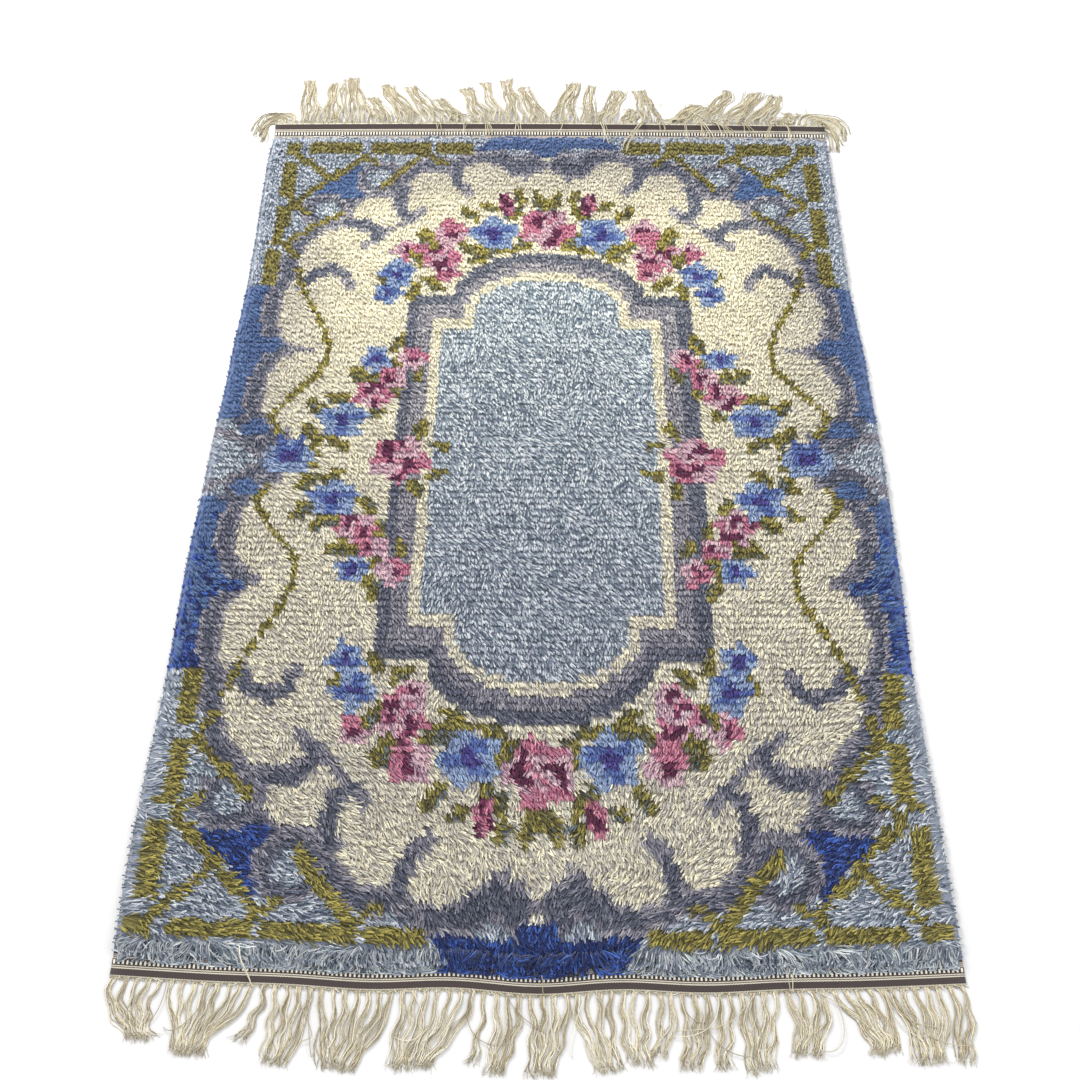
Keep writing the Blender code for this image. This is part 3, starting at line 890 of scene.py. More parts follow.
def dyes_in_painted_light(family):
    """The colours of a family's chart columns: by yarn, then shade, then painted light level."""
    shades = [shade for yarn in family.yarns for shade in DYES[yarn]]
    return [shade_in_painted_light(shade, brightness) for shade in shades for brightness in brightnesses(family)]


print({family.name: len(dyes_in_painted_light(family)) for family in FAMILIES})

# %% [markdown]
# ## How the pile stands and leans
# A knot's ends are about 2 cm long, so they do not stand up: they lean over and lie on their
# neighbours. Feet and brushes push them towards the near end, and here they also turn in from both
# sides. A short table says by how much at a few places, and the strands between them take a blend.
# Blender's noise function, which changes smoothly from place to place, ruffles the lay a little more
# and gives the low lumps of the surface. Towards the near end the pile is shaggy, with thinner and
# longer ends, and towards the far end it is still trim and its rows of knots can be made out.

# %% Height and lay of the pile
WALL_TOP = 0.0115
SHOULDER_TOP = 0.0170
CROWN_TOP = 0.0205
NEAR_RISE = 0.0020
SHOULDER_INSET = 0.009
CROWN_INSET = 0.030
LUMP = 0.0045
LUMP_SIZE = 0.075
LUMP_SEED = 3.7
SWIRL_SIZE, SWIRL_TURN, SWIRL_SEED = 0.10, radians(34), 11.0
RUFFLE_SIZE, RUFFLE_TURN, RUFFLE_SEED = 0.035, radians(40), 5.0
SHAGGY_FROM, SHAGGY_OVER = 0.40, 0.40
TRIM_FROM, TRIM_OVER = -0.05, 0.45
CALMER_TRIM, CALMER_BETWEEN = 0.5, 0.2

# Degrees from the near end towards the right side, by shares of the length and of the width
LAY_ACROSS = (-0.9, -0.45, 0.0, 0.45, 0.9)
LayRow = namedtuple("LayRow", "along degrees")
LAY = (
    LayRow(-0.94, (55, 45, 10, -35, -50)),
    LayRow(-0.64, (50, 25, 15, -15, -45)),
    LayRow(-0.32, (35, 10, 20, 5, -40)),
    LayRow(0.00, (30, 20, 20, 10, -35)),
    LayRow(0.44, (20, 15, 10, 5, -25)),
    LayRow(0.88, (10, 5, 0, -10, -25)),
)


def noise_field(points, size, seed):
    """Blender's smooth noise at each point, about -0.5 to 0.5."""
    spots = points[..., :2].reshape(-1, 2) / size
    return np.array([noise.noise(Vector((x, y, seed))) for x, y in spots])


def rim_distance(across, along):
    """How far a place is inside the pile's nearest side and end, in metres."""
    return (1 - np.abs(across)) * HALF_W, (PILE_ALONG - np.abs(along)) * HALF_L


def pile_top(across, along):
    """The height of the pile's surface: low walls, a shoulder, and a lumpy crown."""
    room = np.minimum(*rim_distance(across, along))
    spots = place(across, along) - (0, SHIFT_Y, 0)
    lumps = noise_field(spots, LUMP_SIZE, LUMP_SEED).reshape(room.shape)
    crown = CROWN_TOP + LUMP * lumps + NEAR_RISE * smooth(-along)
    shoulder = mix(WALL_TOP, SHOULDER_TOP, smooth(room / SHOULDER_INSET))
    return mix(shoulder, crown, smooth(room / CROWN_INSET))


def combed(across, along):
    """The turn of the lay at each place, blended from the table."""
    turns = np.array([np.interp(across, LAY_ACROSS, row.degrees) for row in LAY])
    k, t = between_rows(LAY, along)
    here = np.arange(len(across))
    return np.radians(mix(turns[k - 1, here], turns[k, here], t))


knot_across, knot_along = (grid.ravel() for grid in np.meshgrid(across_share, along_share * PILE_ALONG))
knot_at = place(knot_across, knot_along)
flat_at = knot_at - (0, SHIFT_Y, 0)
shaggy = smooth((-knot_along - SHAGGY_FROM) / SHAGGY_OVER)
trim = smooth((knot_along - TRIM_FROM) / TRIM_OVER)
between = 1 - np.maximum(shaggy, trim)
swirl = noise_field(flat_at, SWIRL_SIZE, SWIRL_SEED) * SWIRL_TURN
swirl += noise_field(flat_at, RUFFLE_SIZE, RUFFLE_SEED) * RUFFLE_TURN
swirl = combed(knot_across, knot_along) + swirl * (1 - CALMER_TRIM * trim - CALMER_BETWEEN * between)
side_room, end_room = rim_distance(knot_across, knot_along)
knot_top = pile_top(knot_across, knot_along)
print(f"pile {1000 * knot_top.min():.0f} to {1000 * knot_top.max():.0f} mm high")
print(f"its lay turns by {np.degrees(np.ptp(swirl)):.0f} degrees")

# %% [markdown]
# ## The knots' feet
# Between the strands one looks down on the feet of the knots, which close the cloth completely. A
# coloured bed under the strands plays their part: a skin over the cloth with a square for each
# knot, coloured from the same chart but darker, as painted shade for the shade between the strands,
# and its rows are slightly raised as real rows of knots are.
# It has sides down to the cloth but no underside, since nothing can look in there.

# %% Bed of the pile
BED_DEPTH = 0.0046
BED_RIM = 0.0048
BED_FLOOR = 0.0034
BED_LIFT = 0.0008
# The bed's colour is darkened by this much as painted shade
BED_PAINTED_SHADE = 0.84
FUZZ_SCALE, FUZZ_DETAIL = 700, 2
MOTTLED = (0.3, 0.7, 0.8, 1.1)
BED_FINISH = Finish(0.95, 0.2, 0.6, 0.001)


def bed_top(across, along):
    inner = smooth(np.minimum(*rim_distance(across, along)) / SHOULDER_INSET)
    return mix(BED_RIM, pile_top(across, along) - BED_DEPTH, inner)


def bed_material():
    material = bpy.data.materials.new("knot_feet_painted_shade")
    material.use_nodes = True
    tree = material.node_tree
    color = new_node(tree, "ShaderNodeVertexColor", layer_name="knots").outputs["Color"]
    where = new_node(tree, "ShaderNodeTexCoord").outputs["Object"]
    fuzz = new_node(tree, "ShaderNodeTexNoise")
    fuzz.inputs["Scale"].default_value = FUZZ_SCALE
    fuzz.inputs["Detail"].default_value = FUZZ_DETAIL
    tree.links.new(where, fuzz.inputs["Vector"])
    mottled = fit_range(tree, fuzz.outputs["Fac"], *MOTTLED)
    finish_shader(tree, tinted(tree, color, mottled), fuzz.outputs["Fac"], BED_FINISH)
    return material


# A foot's colour: its yarn darkened as painted shade, at the painted light level of its place
def painted_shade_of_foot(yarn, across, along):
    family = next(f for f in FAMILIES if yarn in f.yarns)
    return shade_in_painted_light(DYES[yarn][1], BED_PAINTED_SHADE * painted_light_level(family, across, along))


def build_bed():
    columns, rows = KNOTS_ACROSS + 1, KNOT_ROWS + 1
    across, along = np.meshgrid(np.linspace(-1, 1, columns), np.linspace(-1, 1, rows) * PILE_ALONG)
    top = place(across, along)
    top[..., 2] = bed_top(across, along) + BED_LIFT * np.where(np.arange(rows) % 2, 1, -1)[:, None]
    quads, rim = grid_faces(rows, columns)
    foot = top.reshape(-1, 3)[rim]
    foot[:, 2] = BED_FLOOR
    low = rows * columns + np.arange(len(rim))
    walls = np.stack((low, np.roll(low, -1), np.roll(rim, -1), rim), axis=-1)
    faces = np.concatenate((quads, walls))
    points = np.concatenate((top.reshape(-1, 3), foot))
    spots = (points[:, :2] - points[:, :2].min(axis=0)) / np.ptp(points[:, :2], axis=0)
    bed = joined_mesh("pile_bed", points, faces, spots[faces].reshape(-1, 2), bed_material())
    feet_in_painted_shade = [painted_shade_of_foot(*knot) for knot in zip(chart.ravel(), knot_across, knot_along)]
    colors = np.array(feet_in_painted_shade + [painted_shade_of_foot(ICE, 1.0, 0.0)] * len(walls))
    layer = bed.data.color_attributes.new("knots", "FLOAT_COLOR", "CORNER")
    layer.data.foreach_set("color", np.repeat(colors, 4, axis=0).astype(np.float32).ravel())
    return bed


bed = build_bed()
print("bed:", face_triangles(bed), "triangles")

# %% [markdown]
# ## The wool strands
# A strand is drawn with as few faces as will still look round: a triangle of points at its foot,
# which is sunk in the bed, another at its cut end, and a cap. That is seven triangles, twisted on the
# way like the yarn itself. Each knot gets five to eight of them, side by side, just long enough to
# cover the roots of the next row. Arrays do the sums for all of them together: every line below
# moves a few thousand strands.

# %% Numbers for the strands
STRANDS_PER_KNOT = 5.5
SHAGGY_PER_KNOT = 7.1
NEAT_FINE, SHAGGY_FINE, TRIM_FINE = 0.88, 0.76, 0.86
STRAND_SEED = 8
JITTER = 0.0008
ROW_JITTER = 0.0030
FOOT_SINK = 0.0010
ROOT_BACK = 0.32
STRAND_RADII = (0.00160, 0.00168)
LEAN = (0.0125, 0.0165)
TIP_HEIGHT = (0.92, 1.03)
TWIST_STEP = radians(50)
THICK_SPREAD = (0.85, 1.15)
SIDE_REACH = 0.020
NEAR_REACH, FAR_REACH_IN = 1.8 * SIDE_REACH, 0.5 * SIDE_REACH
RIM_SWIRL_SIZE, RIM_SWIRL_TURN, RIM_SWIRL_SEED = 0.055, radians(150), 21.0

# How the shaggy, the trim and the middle part, and the sides and ends, differ from the rest
JITTER_TRIM, JITTER_BETWEEN = 0.10, 0.18
TURN_SPREAD, TURN_SPREAD_SHAGGY, SWIRL_SHAGGY = 0.14, 0.10, 0.2
SIDE_PUSH, NEAR_PUSH, FAR_PUSH = 0.12, 0.4, 1.2
LONGER_SHAGGY, SHORTER_TRIM, SHORTER_BETWEEN = 0.10, 0.12, 0.16
SHORTER_SIDE, SHORTER_FAR = 0.45, 0.4
RIM_DROP = 0.30

# Where a strand's foot and tip sit on its chart column; in the trim part the feet start higher up it, so
# they get less painted root shade
FOOT_V, TIP_V, TRIM_FOOT_V = 0.12, 0.95, 0.50
FACES = []
for k in range(3):
    a, b = k, (k + 1) % 3
    FACES += [(a, b, a + 3), (b, b + 3, a + 3)]
FACES.append((3, 4, 5))
print(len(FACES), "faces to a strand")


def strand_uvs():
    """Round and along for each corner of FACES."""
    corners = []
    for k in range(3):
        a, b = k / 3, (k + 1) / 3
        corners.append((a, FOOT_V, b, FOOT_V, a, TIP_V))
        corners.append((b, FOOT_V, b, TIP_V, a, TIP_V))
    corners.append((0.0, TIP_V, 0.5, 1.0, 1.0, TIP_V))
    return np.array(corners).reshape(len(FACES), 3, 2)


# %% Lay of every strand
dice = np.random.default_rng(STRAND_SEED)
rim_swirl = noise_field(flat_at, RIM_SWIRL_SIZE, RIM_SWIRL_SEED) * RIM_SWIRL_TURN
knot_foot = bed_top(knot_across, knot_along) - FOOT_SINK


def knot_strands(knots):
    """Repeats each knot for its strands and gives each one's place across the knot."""
    wanted = mix(STRANDS_PER_KNOT, SHAGGY_PER_KNOT, shaggy[knots])
    count = np.floor(wanted + dice.random(len(knots))).astype(int)
    owner = np.repeat(knots, count)
    first = np.repeat(np.cumsum(count) - count, count)
    order = np.arange(len(owner)) - first
    return owner, ((order + 0.5) / np.repeat(count, count) - 0.5) * WIDTH / KNOTS_ACROSS


def strand_ends(owner, aside):
    """Foot and tip of each strand (n, 2, 3) and its heading."""
    n = len(owner)
    near = knot_along[owner] < 0
    shag, calm, neat = shaggy[owner], trim[owner], between[owner]
    start = knot_at[owner].copy()
    start[:, 0] += aside + dice.normal(0, JITTER, n)
    start[:, 1] += dice.normal(0, ROW_JITTER, n) * (1 + JITTER_TRIM * calm - JITTER_BETWEEN * neat)
    at_side = 1 - smooth(side_room[owner] / SIDE_REACH)
    at_near = np.where(near, 1 - smooth(end_room[owner] / NEAR_REACH), 0)
    at_far = np.where(near, 0, 1 - smooth(end_room[owner] / FAR_REACH_IN))
    by_chance = dice.normal(0, TURN_SPREAD + TURN_SPREAD_SHAGGY * shag, n)
    turn = swirl[owner] * (1 + SWIRL_SHAGGY * shag) + by_chance + rim_swirl[owner] * at_near
    heading = np.stack((np.sin(turn), -np.cos(turn)), axis=-1)
    heading[:, 0] += np.sign(knot_across[owner]) * at_side * SIDE_PUSH
    heading[:, 1] -= at_near * NEAR_PUSH
    heading[:, 1] += at_far * FAR_PUSH
    heading /= np.linalg.norm(heading, axis=1)[:, None]
    longer = 1 + LONGER_SHAGGY * shag - SHORTER_TRIM * calm - SHORTER_BETWEEN * neat
    lean = dice.uniform(*LEAN, n) * (longer - SHORTER_SIDE * at_side - SHORTER_FAR * at_far)
    ends = np.empty((n, 2, 3))
    for k, share in enumerate((-ROOT_BACK, 1 - ROOT_BACK)):
        ends[:, k, :2] = start[:, :2] + heading * (lean * share)[:, None]
    rim = np.maximum(at_side, at_near)
    ends[:, 0, 2] = knot_foot[owner]
    ends[:, 1, 2] = knot_top[owner] * dice.uniform(*TIP_HEIGHT, n) * (1 - RIM_DROP * rim)
    return ends, heading


def strand_mesh(ends, heading, fine):
    """Points (n, 6, 3): the ring at the foot and the ring at the tip, one twisted on the other."""
    n = len(ends)
    side = np.stack((-heading[:, 1], heading[:, 0], np.zeros(n)), axis=-1)
    ahead = ends[:, 1] - ends[:, 0]
    ahead /= np.linalg.norm(ahead, axis=1)[:, None]
    above = np.cross(ahead, side)
    points = np.empty((n, 6, 3))
    phase = dice.uniform(0, 2 * pi, n)
    thick = fine * dice.uniform(*THICK_SPREAD, n)
    for ring, radius in enumerate(STRAND_RADII):
        for k in range(3):
            angle = phase + k * 2 * pi / 3 + ring * TWIST_STEP
            spoke = np.cos(angle)[:, None] * side + np.sin(angle)[:, None] * above
            points[:, 3 * ring + k] = ends[:, ring] + spoke * (radius * thick)[:, None]
    return points


# %% Knot the pile, family by family
def strand_columns(owner, family, painted_light_lift=0.0):
    """Which column of the family's chart each strand wears: its yarn, its shade and its painted light
    level.
    """
    yarn = chart.ravel()[owner]
    shade = dice.choice(len(SHADE_WEIGHTS), len(owner), p=SHADE_WEIGHTS)
    levels = brightnesses(family)
    across, along = knot_across[owner], knot_along[owner]
    chance_of = mix(CHANCE_NEAR, CHANCE_FAR, (along + 1) / 2)
    wanted = painted_light_level(family, across, along) + painted_light_lift + chance_of * dice.uniform(-1, 1, len(owner))
    bright = np.rint(np.interp(wanted, levels, np.arange(family.levels)))
    place_in_family = np.array([family.yarns.index(y) for y in yarn])
    return (place_in_family * len(SHADE_WEIGHTS) + shade) * family.levels + bright.astype(int)


def knot_family(family, knots, name, material, lots):
    owner, aside = knot_strands(knots)
    fine = mix(mix(NEAT_FINE, SHAGGY_FINE, shaggy[owner]), TRIM_FINE, trim[owner])
    points = strand_mesh(*strand_ends(owner, aside), fine)
    n = len(owner)
    faces = (np.array(FACES)[None] + 6 * np.arange(n)[:, None, None]).reshape(-1, 3)
    uv = np.broadcast_to(strand_uvs(), (n, len(FACES), 3, 2)).copy()
    into_columns(uv, strand_columns(owner, family), lots)
    # Less painted root shade in the trim part
    uv[..., 1] = np.maximum(uv[..., 1], TRIM_FOOT_V * trim[owner][:, None, None])
    piece = joined_mesh(name, points.reshape(-1, 3), faces, uv.reshape(-1, 2), material)
    print(f"{name}: {n} strands, {len(faces)} triangles")
    return piece


wool = []
wool_materials = {}
for family in FAMILIES:
    lots = dyes_in_painted_light(family)
    material = yarn_material(f"{family.name}_wool", lots, WOOL)
    wool_materials[family.name] = material
    members = np.flatnonzero(np.isin(chart.ravel(), family.yarns))
    halves = [members]
    names = [f"pile_{family.name}"]
    if family.halves:
        middle = len(members) // 2
        halves = [members[:middle], members[middle:]]
        names = [f"pile_{family.name}_near", f"pile_{family.name}_far"]
    for knots, name in zip(halves, names):
        wool.append(knot_family(family, knots, name, material, len(lots)))

# %% [markdown]
# ## The ground cloth and its striped bands
# Under the pile lies a firm linen cloth. It shows only in the band at each end, where fine stripes
# are woven in: from the fringe inwards a cream edge, a dark brown stripe, pinstripes, a row of light
# blocks on brown, more pinstripes and a thin dark line. The stripes depend on nothing but the distance
# to the end of the cloth, so one ramp of flat steps over that distance draws them. A small sine is
# added to the distance first, which makes each fine stripe look like the twisted cord that it is.

# %% Ground cloth
CLOTH_COLUMNS = 72
BAND_ROWS = 10
MIDDLE_ROWS = 20
WEAVE_PITCH = 0.0022
Stripe = namedtuple("Stripe", "until_mm shade")
CREAM = (206, 197, 178)
BROWN = (64, 54, 52)
MAUVE = (112, 88, 84)
DUSK = (82, 74, 72)
STRIPES = (
    Stripe(1.3, CREAM),
    Stripe(10.2, BROWN),
    Stripe(11.6, CREAM),
    Stripe(12.9, DUSK),
    Stripe(14.3, CREAM),
    Stripe(23.3, BROWN),
    Stripe(24.5, CREAM),
    Stripe(25.8, MAUVE),
    Stripe(27.0, CREAM),
    Stripe(28.2, DUSK),
    Stripe(29.2, CREAM),
    Stripe(34.0, BROWN),
)
STRIPED = 0.034
ROPE_PITCH = 0.0036
ROPE_SWAY = 0.00025
RIBBED = (-1.0, 1.0, 0.76, 1.10)
CLOTH_FINISH = Finish(0.9, 0.15, 0.6, 0.0006)
BAND_OF_CHART, MIDDLE_OF_CHART = 0.44, 0.06


def cloth_material():
    material = bpy.data.materials.new("striped_ground")
    material.use_nodes = True
    tree = material.node_tree
    inward = new_node(tree, "ShaderNodeAttribute", attribute_name="from_end").outputs["Fac"]
    begins = [0.0] + [stripe.until_mm * MM / STRIPED for stripe in STRIPES[:-1]]
    shades = [dye(*stripe.shade) for stripe in STRIPES]
    where = new_node(tree, "ShaderNodeTexCoord").outputs["Object"]
    split = new_node(tree, "ShaderNodeSeparateXYZ")
    tree.links.new(where, split.inputs[0])
    sway = maths(tree, "SINE", maths(tree, "MULTIPLY", split.outputs["X"], 2 * pi / ROPE_PITCH))
    swayed = maths(tree, "ADD", inward, maths(tree, "MULTIPLY", sway, ROPE_SWAY))
    striped = steps_of(tree, maths(tree, "DIVIDE", swayed, STRIPED), shades, begins)
    warp = maths(tree, "SINE", maths(tree, "MULTIPLY", split.outputs["X"], 2 * pi / WEAVE_PITCH))
    weft = maths(tree, "SINE", maths(tree, "MULTIPLY", split.outputs["Y"], 2 * pi / WEAVE_PITCH))
    # The weave's ribs are painted shade and painted light in a fine checker, and they also drive the bump
    ribs_bump_and_shade = fit_range(tree, maths(tree, "MULTIPLY", warp, weft), *RIBBED)
    finish_shader(tree, tinted(tree, striped, ribs_bump_and_shade), ribs_bump_and_shade, CLOTH_FINISH)
    return material


def build_cloth():
    """One closed thin sheet, flat but for its far band, which curls up."""
    band = np.linspace(PILE_ALONG, 1, BAND_ROWS + 1)
    middle = np.linspace(-PILE_ALONG, PILE_ALONG, MIDDLE_ROWS + 1)[1:-1]
    rows = np.concatenate((-band[::-1], middle, band))
    across, along = np.meshgrid(np.linspace(-1, 1, CLOTH_COLUMNS + 1), rows)
    under = place(across, along)
    under[..., 2] = far_lift(along)
    over = under + (0, 0, CLOTH_THICK)
    quads, rim = grid_faces(*across.shape)
    after = np.roll(rim, -1)
    upper = across.size
    walls = np.stack((rim, after, after + upper, rim + upper), axis=-1)
    faces = np.concatenate((quads[:, ::-1], walls, quads + upper))
    points = np.concatenate((under.reshape(-1, 3), over.reshape(-1, 3)))
    inward = (1 - np.abs(np.tile(along.ravel(), 2))) * HALF_L
    one_side = np.stack(((across.ravel() + 1) / 2, chart_rows(along.ravel())), axis=-1)
    layout = np.tile(one_side, (2, 1))
    cloth = joined_mesh("cloth", points, faces, layout[faces].reshape(-1, 2), cloth_material())
    data = cloth.data.attributes.new("from_end", "FLOAT", "POINT")
    data.data.foreach_set("value", inward.astype(np.float32))
    return cloth


def chart_rows(along):
    """Rows of the cloth's UV map: the two striped bands get most of it, the hidden middle a sliver."""
    share = (1 - np.abs(along)) / (1 - PILE_ALONG)
    beyond = np.clip((share - 1) / (1 / (1 - PILE_ALONG) - 1), 0, 1)
    near = BAND_OF_CHART * np.minimum(share, 1) + MIDDLE_OF_CHART * beyond
    return np.where(along < 0, near, 1 - near)


cloth = build_cloth()
print("cloth:", face_triangles(cloth), "triangles")

# %% [markdown]
# ## The row of light blocks
# In the middle of each band a row of light blocks stands out, where the pattern warp floats over
# the brown ground. Floats are raised, so each is a small pillow sitting on the cloth: one shape,
# repeated 190 times along each end.

# %% Floats
FLOATS = 190
FLOAT_FROM, FLOAT_TO = 0.0160, 0.0217
FLOAT_SHARE = 0.46
FLOAT_RISE = 0.0009
FLOAT_SINK = 0.0004
FLOAT_TAPER = 0.72
FLOAT_CREAM = (232, 226, 210)
FLOAT_LEVELS = ((1.0, -FLOAT_SINK), (1.0, 0.5 * FLOAT_RISE), (FLOAT_TAPER, FLOAT_RISE))
FLOAT_CHART = ((0.16, 0.1), (0.84, 0.1), (0.84, 0.9), (0.16, 0.9))


def build_floats(name, end):
    points = []
    for k in range(FLOATS):
        middle = -1 + (2 * k + 1) / FLOATS
        half = FLOAT_SHARE / FLOATS
        for taper, rise in FLOAT_LEVELS:
            inset = (FLOAT_TO - FLOAT_FROM) * (1 - taper) / 4
            low, high = FLOAT_FROM + inset, FLOAT_TO - inset
            for sign, reach in ((-1, low), (1, low), (1, high), (-1, high)):
                along = end * (1 - reach / HALF_L)
                corner = place(middle + sign * half * taper, along)
                corner[2] = far_lift(along) + CLOTH_THICK + rise
                points.append(corner)
    shape = [(3, 2, 1, 0), (8, 9, 10, 11)]
    for low in (0, 4):
        shape += [(low + k, low + (k + 1) % 4, low + 4 + (k + 1) % 4, low + 4 + k) for k in range(4)]
    if end > 0:
        shape = [face[::-1] for face in shape]
    faces = (np.array(shape)[None] + 12 * np.arange(FLOATS)[:, None, None]).reshape(-1, 4)
    uvs = np.tile(FLOAT_CHART, (len(faces), 1))
    return joined_mesh(name, np.array(points), faces, uvs, float_material)


float_material = yarn_material("cream_float", [dye(*FLOAT_CREAM)], FLOAT_YARN)
floats = [build_floats("band_floats_near", -1), build_floats("band_floats_far", 1)]
print(2 * FLOATS, "floats")

# %% [markdown]
# ## The fringe
# Where the cloth ends, its warp goes on: fine linen threads, eleven to each bundle. They leave the
# hem evenly spaced, draw together into their bundle, and then wander, kink and fray. The bundles
# themselves lie in clumps, as someone's foot or the cleaner left them. The clumps are listed from
# left to right in the same form as in the solids, only drawn together a little more at their tips,
# so every thread lies inside its bundle's solid or just beside it.

# %% Clumps of the fringe
BUNDLES = 74
FRINGE_SEED = 5
GAP = 0.0003
STRIP_DEPTH = 0.003
BUNDLE_SHORTEST = 0.93
BOW_AT = 0.40
STRAIGHT_TIP = 0.30
TIP_BOW = 0.40
TIP_LAG = 0.15
SETTLED_AT = 0.50
SWEEP_CLEAR = 0.016
SWEEP_SPACING = 0.0080

Clump = namedtuple("Clump", "bundles bow_mm drift_mm gather reach_mm")
NEAR_CLUMPS = (
    Clump(5, -16, 12, 0.58, 76),
    Clump(8, -4, -18, 0.70, 88),
    Clump(1, 2, -19, 0.00, 72),
    Clump(4, 2, -12, 0.42, 95),
    Clump(7, 3, -16, 0.52, 97),
    Clump(7, 2, -28, 0.44, 98),
    Clump(1, 3, -14, 0.00, 86),
    Clump(3, 5, -11, 0.50, 98),
    Clump(4, 4, -7, 0.46, 97),
    Clump(4, -6, 18, 0.52, 97),
    Clump(3, -6, 3, 0.34, 90),
    Clump(2, 8, -9, 0.30, 82),
    Clump(3, 6, -7, 0.38, 92),
    Clump(2, 8, -6, 0.35, 92),
    Clump(4, 2, -3, 0.50, 97),
    Clump(4, 14, -3, 0.46, 80),
    Clump(5, 16, 28, 0.58, 78),
    Clump(5, 10, 9, 0.54, 93),
    Clump(2, 12, -3, 0.30, 96),
)
# The drift and reach of these were worked out from the bundles' tips in the photograph
FAR_CLUMPS = (
    Clump(3, 2, -14, 0.55, 155),
    Clump(3, -2, -6, 0.50, 149),
    Clump(4, 4, -26, 0.68, 163),
    Clump(3, 6, -28, 0.50, 98),
    Clump(4, 6, -55, 0.66, 140),
    Clump(3, 6, -54, 0.60, 134),
    Clump(3, 8, -37, 0.55, 92),
    Clump(3, 8, -28, 0.55, 131),
    Clump(2, 6, -28, 0.50, 148),
    Clump(3, 4, -20, 0.66, 161),
    Clump(3, 6, -31, 0.66, 132),
    Clump(4, -4, 20, 0.70, 146),
    Clump(2, 4, 12, 0.50, 136),
    Clump(3, 4, 31, 0.55, 120),
    Clump(3, 4, 12, 0.55, 60),
    Clump(3, 12, -14, 0.50, 124),
    Clump(4, 4, 44, 0.62, 77),
    Clump(3, 6, 62, 0.60, 125),
    Clump(4, 6, 66, 0.66, 119),
    Clump(4, 4, 49, 0.62, 109),
    Clump(3, 4, 21, 0.50, 52),
)
Sweep = namedtuple("Sweep", "side bundles crest_mm crest_step_mm tip_mm tip_step_mm")
FAR_SWEEPS = (
    Sweep(-1, 3, 30, 16, -40, 14),
    Sweep(1, 4, 26, 13, -66, 17),
)
print(sum(c.bundles for c in NEAR_CLUMPS), "bundles at the near end")


# %% Routes of the bundles on the floor
def bundle_root(index, end):
    across = -1 + 2 * (index + 0.5) / BUNDLES
    return place(across, end) + (0, end * (GAP + STRIP_DEPTH), 0)


def clump_routes(clumps, first, end):
    """Four control points for each bundle of the clumps."""
    chance = random.Random(FRINGE_SEED + end)
    out, right = np.array((0, end, 0)), np.array((1, 0, 0))
    routes = []
    for clump in clumps:
        roots = [bundle_root(first + k, end) for k in range(clump.bundles)]
        first += clump.bundles
        middle = sum(p[0] for p in roots) / len(roots)
        for start in roots:
            reach = MM * clump.reach_mm * chance.uniform(BUNDLE_SHORTEST, 1)
            bow = MM * clump.bow_mm
            shift = MM * clump.drift_mm - clump.gather * (start[0] - middle)
            tip = start + out * reach + right * shift
            routes.append((
                start,
                start + out * reach * BOW_AT + right * bow,
                tip - out * reach * STRAIGHT_TIP + right * (TIP_BOW * bow - TIP_LAG * shift),
                tip,
            ))
    return routes


def sweep_routes(sweep, end):
    side = sweep.side
    routes = []
    for k in range(sweep.bundles):
        index = k if side < 0 else BUNDLES - 1 - k
        start = bundle_root(index, end)
        crest = end * MM * (sweep.crest_mm + k * sweep.crest_step_mm)
        tip_x = side * (HALF_W + SWEEP_CLEAR + k * SWEEP_SPACING)
        tip_y = start[1] + end * MM * (sweep.tip_mm + k * sweep.tip_step_mm)
        turn = np.array((tip_x, start[1] + crest, 0))
        routes.append((start, start + (0, crest, 0), turn, np.array((tip_x, tip_y, 0))))
    return routes if side < 0 else routes[::-1]


near_routes = clump_routes(NEAR_CLUMPS, 0, -1)
left_sweep, right_sweep = FAR_SWEEPS
far_routes = sweep_routes(left_sweep, 1) + clump_routes(FAR_CLUMPS, left_sweep.bundles, 1)
far_routes += sweep_routes(right_sweep, 1)
print(len(near_routes), "near and", len(far_routes), "far bundles")

# %% [markdown]
# ## Threads
# A thread is a thin tube along a path. To draw one we need, at each point, a direction and two more
# directions across it; the rest is a small ring of points repeated along the path. The path is the
# bundle's curve, plus the thread's own place in the bundle, plus a little waviness that linen keeps
# from being woven. Each end comes apart into two fine hairs.

# %% Tubes along many paths
TUBE_SIDES = 3


def tubes(paths, radii):
    """Points of closed three-sided tubes, and their faces; paths is (n, m, 3), radii is (n, m)."""
    n, m = paths.shape[:2]
    ahead = np.gradient(paths, axis=1)
    ahead /= np.linalg.norm(ahead, axis=2, keepdims=True) + 1e-12
    side = np.cross(ahead, (0.02, 0.01, 1.0))
    side /= np.linalg.norm(side, axis=2, keepdims=True) + 1e-12
    above = np.cross(ahead, side)
    angles = np.arange(TUBE_SIDES) * 2 * pi / TUBE_SIDES
    spokes = np.cos(angles)[:, None] * side[:, :, None] + np.sin(angles)[:, None] * above[:, :, None]
    points = paths[:, :, None] + spokes * radii[:, :, None, None]
    index = np.arange(m * TUBE_SIDES).reshape(m, TUBE_SIDES)
    turned = np.roll(index, -1, axis=1)
    low, high = (index[:-1], turned[:-1], turned[1:]), (index[:-1], turned[1:], index[1:])
    skin = np.concatenate([np.stack(corners, axis=-1).reshape(-1, 3) for corners in (low, high)])
    caps = np.array((index[0][::-1], index[-1]))
    shape = np.concatenate((skin, caps))
    faces = (shape[None] + m * TUBE_SIDES * np.arange(n)[:, None, None]).reshape(-1, 3)
    return points.reshape(-1, 3), faces


